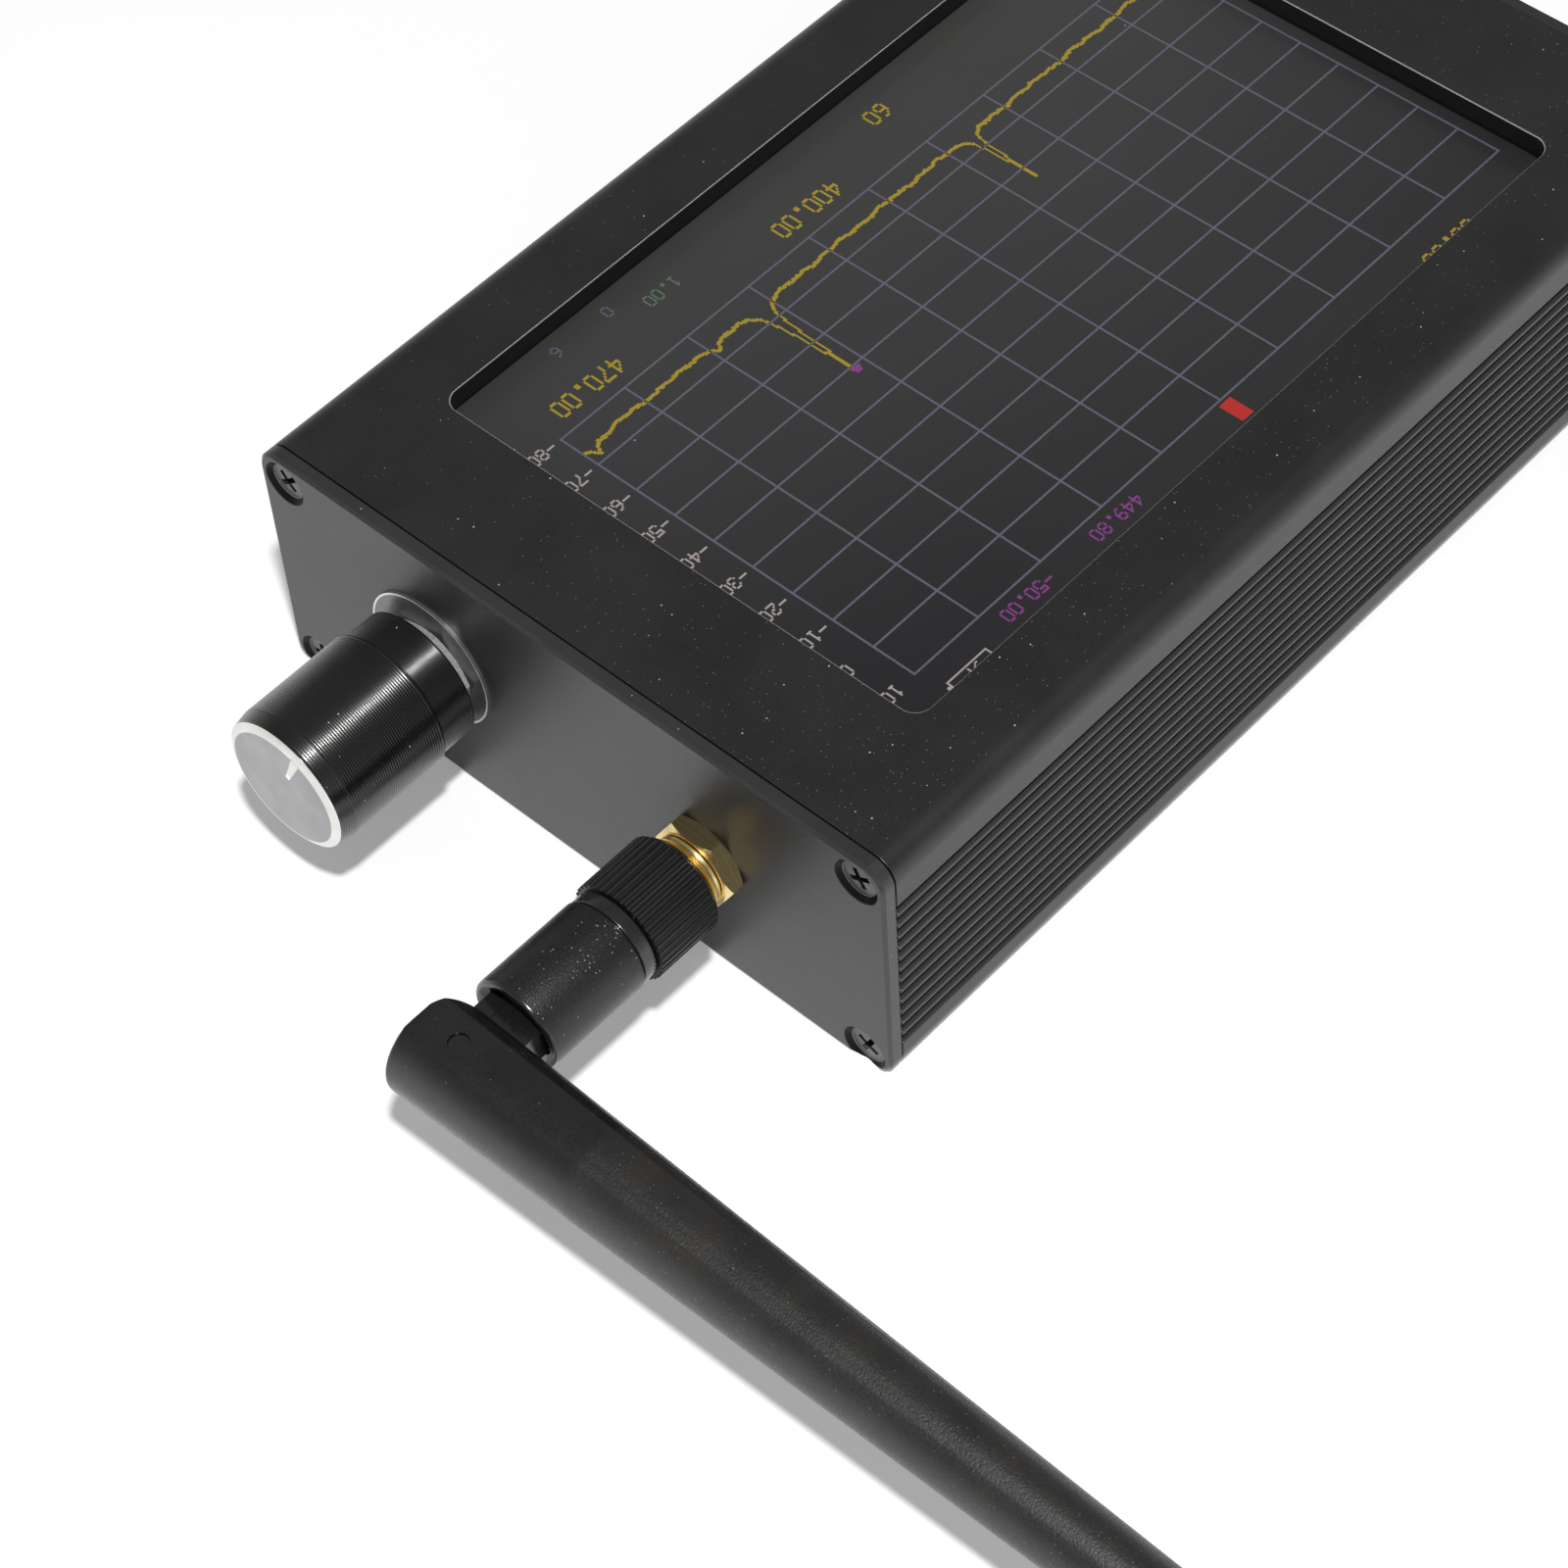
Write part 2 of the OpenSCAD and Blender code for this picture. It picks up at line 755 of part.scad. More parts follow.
module wire(from, to) {
    hull() {
        translate(from) rotate([0, 90, 0]) cylinder(r = lead_r, h = lead_r / 2, $fn = 16);
        translate(to) rotate([0, 90, 0]) mirror([0, 0, 1]) cylinder(r = lead_r, h = lead_r / 2, $fn = 16);
    }
}

// Charging socket at the main board's rear edge
module usb_socket() {
    mouth = -face + usb_gap;
    color([0.72, 0.72, 0.74])
    translate([0, -usb_y, usb_z]) {
        difference() {
            bar_x(mouth, mouth + usb_l) rounded_rect(usb_w, usb_h, usb_corner);
            bar_x(mouth - over, mouth + usb_l - usb_wall)
                rounded_rect(usb_w - 2 * usb_wall, usb_h - 2 * usb_wall, usb_corner - usb_wall);
        }
        block([mouth + usb_wall, -usb_tongue_w / 2, -usb_tongue_t / 2],
              [usb_l - usb_wall, usb_tongue_w, usb_tongue_t]);
    }
}

// Slide switch at the main board's rear edge
module switch_body() {
    room_w = slider_w + 2 * slider_foot + switch_travel + 2 * free_gap;
    room_h = slider_t + 2 * slider_foot + 2 * free_gap;
    room_l = foot_l + foot_depth + free_gap;
    color([0.65, 0.65, 0.67])
    translate([-case_end, switch_y, switch_z])
        difference() {
            block([0, -switch_w / 2, -switch_h / 2], [switch_l, switch_w, switch_h]);
            block([foot_l, -room_w / 2, -room_h / 2], [room_l, room_w, room_h]);
            block([-over, -room_w / 2 + slider_foot, -slider_t / 2 - free_gap],
                  [foot_l + 2 * over, room_w - 2 * slider_foot, slider_t + 2 * free_gap]);
        }
}

module switch_slider() {
    rest = -switch_travel / 2;
    foot_x = foot_l + free_gap;
    color([0.1, 0.1, 0.1])
    translate([-case_end, switch_y + rest, switch_z]) {
        block([-panel_t - slider_out, -slider_w / 2, -slider_t / 2],
              [panel_t + slider_out + foot_x + foot_depth / 2, slider_w, slider_t]);
        block([foot_x, -slider_w / 2 - slider_foot, -slider_t / 2 - slider_foot],
              [foot_depth - free_gap, slider_w + 2 * slider_foot, slider_t + 2 * slider_foot]);
    }
}

// Charging light behind its hole in the rear panel
module charge_light() {
    color([0.85, 0.3, 0.25])
    translate([-case_end, light_y, light_z]) {
        block([free_gap, -light_base / 2, -light_base / 2], [light_l, light_base, light_base]);
        rotate([0, -90, 0]) rod(light_r, -light_l, panel_t + free_gap);
    }
}

// Encoder housing behind the front panel
module encoder_body() {
    back = -panel_t - body_depth;
    color([0.55, 0.55, 0.56])
    at_encoder()
        difference() {
            translate([-encoder_h / 2, -encoder_w / 2, back]) cube([encoder_h, encoder_w, body_depth]);
            rod(chamber_r, back + chamber_wall, -panel_t + over);
        }
}

// Threaded bushing of the encoder, with a foot that closes the housing
module encoder_bushing() {
    foot_t = 1;
    color([0.7, 0.7, 0.68])
    at_encoder()
        difference() {
            union() {
                rod(bushing_r, -panel_t, bushing_l);
                rod(chamber_r - seat_gap, -panel_t - foot_t, -panel_t + foot_t / 2);
            }
            rod(bushing_bore_r, -panel_t - foot_t - over, bushing_l + over);
        }
}

// Loose washer, clamped a little off the encoder's axis
module encoder_washer() {
    washer_hole_r = nut_hole_r + sqrt(pow(washer_rise, 2) + pow(washer_slip, 2));
    color([0.3, 0.3, 0.31])
    at_encoder() translate([-washer_rise, -washer_slip, 0]) tube(washer_r, washer_hole_r, 0, washer_t);
}

module encoder_nut() {
    bevel = 0.3;
    color([0.62, 0.62, 0.63])
    at_encoder() rotate([0, 0, nut_turn])
        hex_nut(encoder_nut_af, nut_hole_r, washer_t, washer_t + encoder_nut_t, bevel);
}

module encoder_board() {
    back = -panel_t - body_depth;
    color([0.1, 0.35, 0.2])
    at_encoder()
        difference() {
            translate([-encoder_board_w / 2, -encoder_board_w / 2, back - small_board_t])
                cube([encoder_board_w, encoder_board_w, small_board_t]);
            header_row(back - small_board_t - over, header_pin_w + 2 * running, small_board_t + 2 * over);
        }
}

// A row of square pins or holes just above the main board, on the encoder's axis
module header_row(z, w, l) {
    low = encoder_z - board_top - header_h / 2;
    for (i = [0 : header_pins - 1])
        translate([low, (i - (header_pins - 1) / 2) * header_pitch, z + l / 2])
            cube([w, w, l], center = true);
}

// Angled pin header that joins the encoder's board to the main board
module encoder_header() {
    back = -panel_t - body_depth - small_board_t;
    low = encoder_z - board_top - header_h;
    color([0.15, 0.15, 0.16])
    at_encoder() {
        translate([low, -header_w / 2, back - header_depth]) cube([header_h, header_w, header_depth]);
        header_row(back - header_depth / 2, header_pin_w, header_depth / 2 + small_board_t);
    }
}

// Button inside the housing that the shaft presses
module encoder_plunger() {
    color([0.85, 0.8, 0.6])
    at_encoder() rod(plunger_r, -shaft_back - running - plunger_t, -shaft_back - running);
}

module encoder_shaft() {
    tip = knob_reach - shaft_tip_gap;
    color([0.75, 0.75, 0.73])
    at_encoder()
        difference() {
            rod(shaft_r, -shaft_back, tip);
            translate([shaft_r - flat_depth, -shaft_r, tip - flat_l]) cube([shaft_r, 2 * shaft_r, flat_l + over]);
        }
}

// Turned shell of the knob: skirt, grip, bevelled front and a pointer cut in the front
module knob_shell() {
    skirt_end = knob_gap + skirt_l;
    core_stop = knob_reach - knob_front_t;
    color([0.09, 0.09, 0.095])
    at_encoder()
        difference() {
            rotate_extrude()
                polygon([
                    [0, core_stop], [knob_bore_r, core_stop], [knob_bore_r, knob_gap],
                    [skirt_r, knob_gap], [skirt_r, skirt_end], [knob_r, skirt_end],
                    [knob_r, knob_reach - nose_l], [knob_r - nose_taper, knob_reach - bevel_d],
                    [face_r, knob_reach], [0, knob_reach]
                ]);
            rotate([0, 0, pointer_angle])
                translate([-pointer_w / 2, face_r - pointer_l, knob_reach - pointer_depth])
                    cube([pointer_w, pointer_l, pointer_depth + over]);
        }
}

// Moulded core that grips the shaft inside the knob
module knob_core() {
    tip = knob_reach - shaft_tip_gap;
    hole_r = shaft_r + seat_gap;
    color([0.2, 0.2, 0.2])
    at_encoder()
        difference() {
            rod(knob_bore_r - seat_gap, core_start, core_end);
            difference() {
                rod(hole_r, core_start - over, tip + seat_gap);
                translate([shaft_r - flat_depth + seat_gap, -shaft_r - over, tip - flat_l + seat_gap])
                    cube([shaft_r + over, 2 * (shaft_r + over), flat_l + over]);
            }
        }
}

// Antenna socket: barrel, flange and four legs astride the main board
module socket_body() {
    inner = -panel_t - flange_t;
    leg_y = flange_w / 2 - leg_w;
    leg_top = pin_drop;
    leg_low = pin_drop + main_board_t;
    color([0.85, 0.68, 0.3])
    at_socket()
        difference() {
            union() {
                rod(barrel_r, inner, barrel_l);
                translate([-flange_w / 2, -flange_w / 2, inner]) cube([flange_w, flange_w, flange_t]);
                for (s = [-1, 1])
                    translate([0, s > 0 ? leg_y : -leg_y - leg_w, inner - leg_l]) {
                        translate([leg_top - leg_w, 0, 0]) cube([leg_w, leg_w, leg_l + flange_t / 2]);
                        translate([leg_low, 0, 0]) cube([leg_w, leg_w, leg_l + flange_t / 2]);
                    }
            }
            rod(insulator_r + seat_gap, inner - over, barrel_l + over);
        }
}

module socket_insulator() {
    color([0.9, 0.9, 0.88])
    at_socket() tube(insulator_r, contact_r + seat_gap, -panel_t - flange_t, barrel_l);
}

module socket_contact() {
    back = -panel_t - flange_t - contact_l;
    color([0.85, 0.68, 0.3])
    at_socket()
        difference() {
            union() {
                rod(contact_r, -panel_t - flange_t, barrel_l);
                rod(pin_drop - seat_gap, back, -panel_t);
            }
            rod(contact_bore_r, barrel_l - pin_l - over / 2, barrel_l + over);
        }
}

module socket_nut() {
    bevel = 0.45;
    color([0.85, 0.68, 0.3])
    at_socket() hex_nut(socket_nut_af, barrel_r + running, 0, socket_nut_t, bevel);
}

// Fluted sleeve of the coupling nut
module coupling_sleeve() {
    catch_start = coupling_end - catch_t;
    color([0.07, 0.07, 0.07])
    at_socket()
        difference() {
            rotate_extrude()
                polygon([
                    [coupling_bore_r, coupling_start], [coupling_r - coupling_taper, coupling_start],
                    [coupling_r, coupling_start + coupling_taper], [coupling_r, coupling_end],
                    [core_r + free_gap, coupling_end], [core_r + free_gap, catch_start],
                    [coupling_bore_r, catch_start]
                ]);
            for (i = [0 : flute_count - 1])
                rotate([0, 0, i * 360 / flute_count])
                    translate([coupling_r, 0, coupling_start + flute_margin / 2])
                        cylinder(r = flute_r, h = coupling_l - flute_margin / 2 + over, $fn = 16);
        }
}

// Threaded brass ring inside the fluted sleeve
module coupling_thread() {
    color([0.85, 0.68, 0.3])
    at_socket() tube(thread_r, thread_bore_r, coupling_start + coupling_taper, barrel_l);
}

// Brass core of the antenna's plug, turned with the base
module antenna_core() {
    start = barrel_l + free_gap;
    flange_end = coupling_end - catch_t - free_gap;
    color([0.85, 0.68, 0.3])
    at_socket()
        difference() {
            union() {
                rod(core_flange_r - free_gap, start, flange_end);
                rod(core_r, start, collar_end + core_tail);
            }
            rod(contact_r + seat_gap, start - over, start + pin_l);
        }
}

module antenna_contact() {
    start = barrel_l + free_gap;
    color([0.85, 0.68, 0.3])
    at_socket() {
        rod(pin_r, barrel_l - pin_l, start + free_gap);
        rod(contact_r, start, start + pin_l - seat_gap);
    }
}

module antenna_collar() {
    color([0.05, 0.05, 0.05])
    at_socket() tube(collar_r, core_r + seat_gap, collar_start, collar_end);
}

module antenna_sleeve() {
    color([0.12, 0.12, 0.12])
    at_socket()
        difference() {
            rod(sleeve_r, collar_end, sleeve_end);
            rod(core_r + seat_gap, collar_end - over, sleeve_end);
            rod(knuckle_r + seat_gap, collar_end + core_tail, sleeve_end + over);
        }
}

// Plug in the base sleeve that ends in the hinge's tongue
module antenna_knuckle() {
    root_l = plug_sink + 1;
    color([0.1, 0.1, 0.1])
    difference() {
        union() {
            at_socket() rod(knuckle_r, collar_end + core_tail + seat_gap, sleeve_end - plug_sink);
            at_hinge() {
                cylinder(r = tongue_round_r, h = tongue_t, center = true);
                translate([-(hinge_gap + root_l) / 2, 0, 0])
                    cube([hinge_gap + root_l, tongue_w, tongue_t], center = true);
            }
        }
        at_hinge() cylinder(r = hinge_pin_r + running, h = 2 * tongue_t, center = true);
    }
}

module hinge_pin() {
    pin_sink = 0.25;
    color([0.15, 0.15, 0.15])
    at_hinge() cylinder(r = hinge_pin_r, h = 2 * (flat_z - pin_sink), center = true);
}

// Whip radius at a distance z from the hinge
function whip_radius(z) = whip_r - taper * z;

// Whip cover: a long taper with a slot for the tongue, open to the rear and to one side,
// and a flat above and below the hinge
module antenna_whip() {
    back_r = whip_radius(-whip_back);
    end_r = whip_radius(whip_l - tip_round);
    slot_t = tongue_t + 2 * tongue_gap;
    color([0.1, 0.1, 0.1])
    at_hinge()
        difference() {
            rotate([-90, 0, 0])
                rotate_extrude()
                    polygon(concat(
                        [[0, -whip_back], [back_r - rim_round, -whip_back],
                         [back_r, -whip_back + rim_round]],
                        [for (a = [0 : 15 : 90])
                            [end_r - tip_round + tip_round * cos(a),
                             whip_l - tip_round + tip_round * sin(a)]],
                        [[0, whip_l]]
                    ));
            block([-2 * whip_r, -2 * whip_r, -slot_t / 2], [2 * whip_r, 2 * whip_r + slot_reach, slot_t]);
            block([-2 * whip_r, -2 * whip_r, -slot_t / 2], [2 * whip_r + slot_reach, 2 * whip_r, slot_t]);
            cylinder(r = slot_reach, h = slot_t, center = true);
            corner_cut();
            for (z = [flat_z, -flat_z - whip_flat - over])
                block([-2 * whip_r, -2 * whip_r, z], [4 * whip_r, 2 * whip_r + whip_flat_l, whip_flat + over]);
            cylinder(r = hinge_pin_r + seat_gap, h = 4 * whip_r, center = true);
            rotate([-90, 0, 0]) rod(radiator_r + seat_gap, radiator_start - seat_gap, whip_l - tip_wall);
        }
}

// Rounds the whip's rear corner about the hinge, so that it clears the base sleeve
module corner_cut() {
    difference() {
        block([-2 * whip_r, -2 * whip_r, -2 * whip_r], [2 * whip_r, 2 * whip_r, 4 * whip_r]);
        cylinder(r = whip_back + free_gap, h = 8 * whip_r, center = true);
    }
}

// Brass sleeve and wire inside the whip
module antenna_radiator() {
    color([0.85, 0.68, 0.3])
    at_hinge() rotate([-90, 0, 0]) {
        rod(radiator_r, radiator_start, radiator_start + radiator_l);
        rod(wire_r, radiator_start + radiator_l / 2, whip_l - tip_wall);
    }
}

case_tube();
front_panel();
rear_panel();
front_panel_screws();
rear_panel_screws();
window_gasket();
display_glass();
display_backlight();
display_board();
display_ribbon();
board_spacers();
board_screws();
main_board();
shield_cans();
board_chips();
board_connector();
battery();
battery_pad();
battery_lead();
usb_socket();
switch_body();
switch_slider();
charge_light();
encoder_body();
encoder_bushing();
encoder_washer();
encoder_nut();
encoder_board();
encoder_header();
encoder_plunger();
encoder_shaft();
knob_shell();
knob_core();
socket_body();
socket_insulator();
socket_contact();
socket_nut();
coupling_sleeve();
coupling_thread();
antenna_core();
antenna_contact();
antenna_collar();
antenna_sleeve();
antenna_knuckle();
hinge_pin();
antenna_whip();
antenna_radiator();
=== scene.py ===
"""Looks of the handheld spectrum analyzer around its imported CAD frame.

Lengths in this file are in millimetres unless a name says otherwise, and MM turns them into metres.
+X points out of the control panel, +Y to the antenna's side and +Z up.
"""

import math
import random

import bmesh
import bpy
from mathutils import Matrix, Vector


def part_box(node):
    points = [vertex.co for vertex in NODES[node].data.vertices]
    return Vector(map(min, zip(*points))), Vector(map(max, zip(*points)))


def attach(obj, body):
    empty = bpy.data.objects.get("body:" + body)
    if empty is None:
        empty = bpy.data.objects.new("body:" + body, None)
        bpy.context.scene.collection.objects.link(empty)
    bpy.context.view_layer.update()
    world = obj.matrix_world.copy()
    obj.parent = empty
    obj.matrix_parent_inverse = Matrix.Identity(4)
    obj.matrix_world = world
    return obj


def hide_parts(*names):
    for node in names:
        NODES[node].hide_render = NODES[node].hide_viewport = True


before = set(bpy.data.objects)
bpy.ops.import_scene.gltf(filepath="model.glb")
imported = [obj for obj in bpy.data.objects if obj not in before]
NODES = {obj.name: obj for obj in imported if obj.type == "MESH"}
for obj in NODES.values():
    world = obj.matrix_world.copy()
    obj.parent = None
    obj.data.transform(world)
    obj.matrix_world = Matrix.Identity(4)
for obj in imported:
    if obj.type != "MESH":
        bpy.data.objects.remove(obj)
bpy.context.scene.view_settings.view_transform = "Standard"
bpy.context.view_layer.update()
MM = 0.001


# Places worked out from the frame

def extent(node, axis):
    """Lowest and highest place of a node along an axis, to 0.01 mm."""
    return [round(corner["XYZ".index(axis)] / MM, 2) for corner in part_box(node)]


def middle(node, axis):
    """Place of a node's middle along an axis."""
    return round(sum(extent(node, axis)) / 2, 2)


def half(node, axis):
    """Half of a node's size along an axis, which is the radius of a turned node."""
    low, high = extent(node, axis)
    return round((high - low) / 2, 2)


def beyond(node, axis, origin):
    """Start and end of a node along an axis, counted from a place on it."""
    return [round(value - origin, 2) for value in extent(node, axis)]


FACE = extent("front_panel", "X")[1]
HALF_W = half("case_tube", "Y")
HEIGHT = extent("case_tube", "Z")[1]
SCREEN_Z = extent("display_glass", "Z")[1]

KNOB = (FACE, middle("knob_shell", "Y"), middle("knob_shell", "Z"))
KNOB_BACK, KNOB_END = beyond("knob_shell", "X", FACE)
KNOB_R = half("knob_shell", "Y")
WASHER_Y, WASHER_Z = middle("encoder_washer", "Y"), middle("encoder_washer", "Z")
WASHER_R = half("encoder_washer", "Y")

ANTENNA_Y, ANTENNA_Z = middle("socket_body", "Y"), middle("socket_body", "Z")
ANTENNA = (FACE, ANTENNA_Y, ANTENNA_Z)
HINGE = (middle("hinge_pin", "X"), ANTENNA_Y, ANTENNA_Z)

# Window in the roof, as half sizes, the width of its eased edge, and the grooves in the case's sides
WINDOW_X, WINDOW_Y = 44.15, 28.0
EDGE = 0.1
GROOVE_DEPTH, GROOVES_TOP = 1.2, HEIGHT - 4

# Centres of the panel screws, and the radius of the recesses round their heads
SCREW_Y = HALF_W - 3.04
SCREW_LOW, SCREW_HIGH = 2.0, HEIGHT - 2.9
RECESS_R = 2.6

# Hinge of the antenna, and the flats of the whip on either side of it
TONGUE_R, TONGUE_HALF = 3.0, 1.7
PIN_R = 0.94
FLAT_DEPTH, FLAT_LENGTH = 0.52, 15.4


# Camera, solved from the photograph's grid, case edges and grooves

CAMERA_PLACE = (204.867, 176.417, 300.862)
CAMERA_DEGREES = (37.9339, 2.6526, 132.3181)
CAMERA_LENS = 96.894
CAMERA_SENSOR = 36


def add_object(name, data):
    """A new object of the scene."""
    made = bpy.data.objects.new(name, data)
    bpy.context.scene.collection.objects.link(made)
    return made


def make_camera():
    data = bpy.data.cameras.new("camera")
    data.sensor_width = CAMERA_SENSOR
    data.lens = CAMERA_LENS
    data.clip_start = 20 * MM
    data.clip_end = 20000 * MM
    camera = add_object("camera", data)
    camera.location = Vector(CAMERA_PLACE) * MM
    camera.rotation_euler = [math.radians(angle) for angle in CAMERA_DEGREES]
    bpy.context.scene.camera = camera


# Materials

def rgb(r, g, b):
    """A colour given as it shows on screen, 0 to 255, as linear values."""
    def linear(v):
        v /= 255
        return v / 12.92 if v <= 0.04045 else ((v + 0.055) / 1.055) ** 2.4
    return (linear(r), linear(g), linear(b), 1)


def scaled(colour, factor):
    """A colour made lighter or darker."""
    return tuple(min(1, c * factor) for c in colour[:3]) + (1,)


class Nodes:
    """A node tree, with short calls that add to it."""

    def __init__(self, tree):
        self.tree = tree

    def add(self, kind, **values):
        node = self.tree.nodes.new(kind)
        for key, value in values.items():
            setattr(node, key, value)
        return node

    def link(self, output, socket):
        self.tree.links.new(output, socket)

    def put(self, value, socket):
        """Sets a socket to a number or colour, or links it to another node's output."""
        if isinstance(value, (int, float, tuple)):
            socket.default_value = value
        else:
            self.link(value, socket)

    def split(self, vector):
        """The X, Y and Z of a vector."""
        node = self.add("ShaderNodeSeparateXYZ")
        self.link(vector, node.inputs["Vector"])
        return node.outputs["X"], node.outputs["Y"], node.outputs["Z"]

    def math(self, operation, a, b=0.0):
        node = self.add("ShaderNodeMath", operation=operation)
        self.put(a, node.inputs[0])
        self.put(b, node.inputs[1])
        return node.outputs["Value"]

    def product(self, value, *others):
        for other in others:
            value = self.math("MULTIPLY", value, other)
        return value

    def spread(self, value, low, high, a=0.0, b=1.0):
        """A number that goes from a to b as the value goes from low to high."""
        node = self.add("ShaderNodeMapRange", clamp=True)
        self.link(value, node.inputs["Value"])
        for key, v in zip(("From Min", "From Max", "To Min", "To Max"), (low, high, a, b)):
            node.inputs[key].default_value = v
        return node.outputs["Result"]

    def along(self, place, low, high, a=0.0, b=1.0):
        """A number that goes from a to b between two places in millimetres."""
        return self.spread(place, low * MM, high * MM, a, b)

    def above(self, place, low):
        """A mask of what is above a place in millimetres."""
        return self.math("GREATER_THAN", place, low * MM)

    def below(self, place, high):
        """A mask of what is below a place in millimetres."""
        return self.math("LESS_THAN", place, high * MM)

    def between(self, place, low, high):
        """A mask of what is between two places in millimetres."""
        return self.product(self.above(place, low), self.below(place, high))

    def off(self, place, centre=0.0):
        """Distance either way from a place in millimetres."""
        return self.math("ABSOLUTE", self.math("SUBTRACT", place, centre * MM))

    def radius(self, a, b):
        """Distance from the point where a and b are zero."""
        return self.math("SQRT", self.math("ADD", self.product(a, a), self.product(b, b)))


class Paint(Nodes):
    """Builds one procedural material around a Principled shader, whose own sockets may be set by name."""

    def __init__(self, name, rough, metal=0.0, **sockets):
        self.material = bpy.data.materials.new(name)
        self.material.use_nodes = True
        super().__init__(self.material.node_tree)
        self.shader = self.tree.nodes["Principled BSDF"]
        self.shader.inputs["Metallic"].default_value = metal
        self.shader.inputs["Roughness"].default_value = rough
        for key, value in sockets.items():
            self.shader.inputs[key.replace("_", " ")].default_value = value
        self.where = self.add("ShaderNodeTexCoord").outputs["Object"]

    def place(self):
        """The X, Y and Z of a point in the part's frame, in metres."""
        return self.split(self.where)

    def stretched(self, scale):
        node = self.add("ShaderNodeMapping")
        node.inputs["Scale"].default_value = scale
        self.link(self.where, node.inputs["Vector"])
        return node.outputs["Vector"]

    def noise(self, scale, detail=2.0, vector=None):
        node = self.add("ShaderNodeTexNoise")
        node.inputs["Scale"].default_value = scale
        node.inputs["Detail"].default_value = detail
        self.link(vector or self.where, node.inputs["Vector"])
        return node.outputs["Fac"]

    def grain(self, scale, broad_scale):
        """Fine grain, and the same blended with broad soft patches."""
        fine = self.noise(scale, 3)
        broad = self.noise(broad_scale)
        return fine, self.math("ADD", self.product(fine, 0.6), self.product(broad, 0.4))

    def mix(self, factor, a, b):
        node = self.add("ShaderNodeMix", data_type="RGBA")
        self.link(factor, node.inputs["Factor"])
        self.put(a, node.inputs["A"])
        self.put(b, node.inputs["B"])
        return node.outputs["Result"]

    def vary(self, noise, a, b, edge=0.35):
        """Colour a where a noise is low and b where it is high."""
        return self.mix(self.spread(noise, edge, 1 - edge), a, b)

    def speckled(self, tint, scale, size, share, colour):
        """A tint with small round specks, one in some of the cells of a pattern."""
        cells = self.add("ShaderNodeTexVoronoi", feature="F1")
        cells.inputs["Scale"].default_value = scale
        self.link(self.where, cells.inputs["Vector"])
        near = self.spread(cells.outputs["Distance"], size, size * 0.5)
        parts = self.add("ShaderNodeSeparateColor")
        self.link(cells.outputs["Color"], parts.inputs["Color"])
        chosen = self.math("LESS_THAN", parts.outputs["Red"], share)
        return self.mix(self.product(near, chosen), tint, colour)

    def colour(self, value):
        self.put(value, self.shader.inputs["Base Color"])

    def roughness(self, value):
        self.link(value, self.shader.inputs["Roughness"])

    def roughness_by(self, noise, a, b):
        """Roughness a where a noise is low and b where it is high."""
        self.roughness(self.spread(noise, 0.3, 0.7, a, b))

    def bump(self, height, depth_mm, strength=1.0):
        node = self.add("ShaderNodeBump")
        node.inputs["Strength"].default_value = strength
        node.inputs["Distance"].default_value = depth_mm * MM
        self.link(height, node.inputs["Height"])
        self.link(node.outputs["Normal"], self.shader.inputs["Normal"])


def grained(name, colour, rough, metal=0.0, vary=0.2, grain=7000, depth_mm=0.004, rough_vary=0.05,
            specks=None, **sockets):
    """A surface with fine grain in its height, colour and roughness, and broad soft patches.

    The specks are the scale, size and share of its dust.
    """
    p = Paint(name, rough, metal, **sockets)
    fine, blend = p.grain(grain, grain / 60)
    tint = p.vary(blend, scaled(colour, 1 - vary), scaled(colour, 1 + vary))
    if specks:
        tint = p.speckled(tint, *specks, rgb(215, 215, 210))
    p.colour(tint)
    p.roughness_by(blend, rough - rough_vary, rough + rough_vary)
    p.bump(fine, depth_mm)
    return p.material


def turned_metal(name, colour, rough, axis="X", rings=9000, **sockets):
    """Metal with fine tool marks across one axis."""
    p = Paint(name, rough, 1.0, **sockets)
    marks = p.noise(1.0, 2, p.stretched([rings if letter == axis else 60 for letter in "XYZ"]))
    p.colour(p.vary(p.noise(300), scaled(colour, 0.88), colour))
    p.roughness_by(marks, rough * 0.8, rough * 1.25)
    p.bump(marks, 0.002, 0.6)
    return p.material


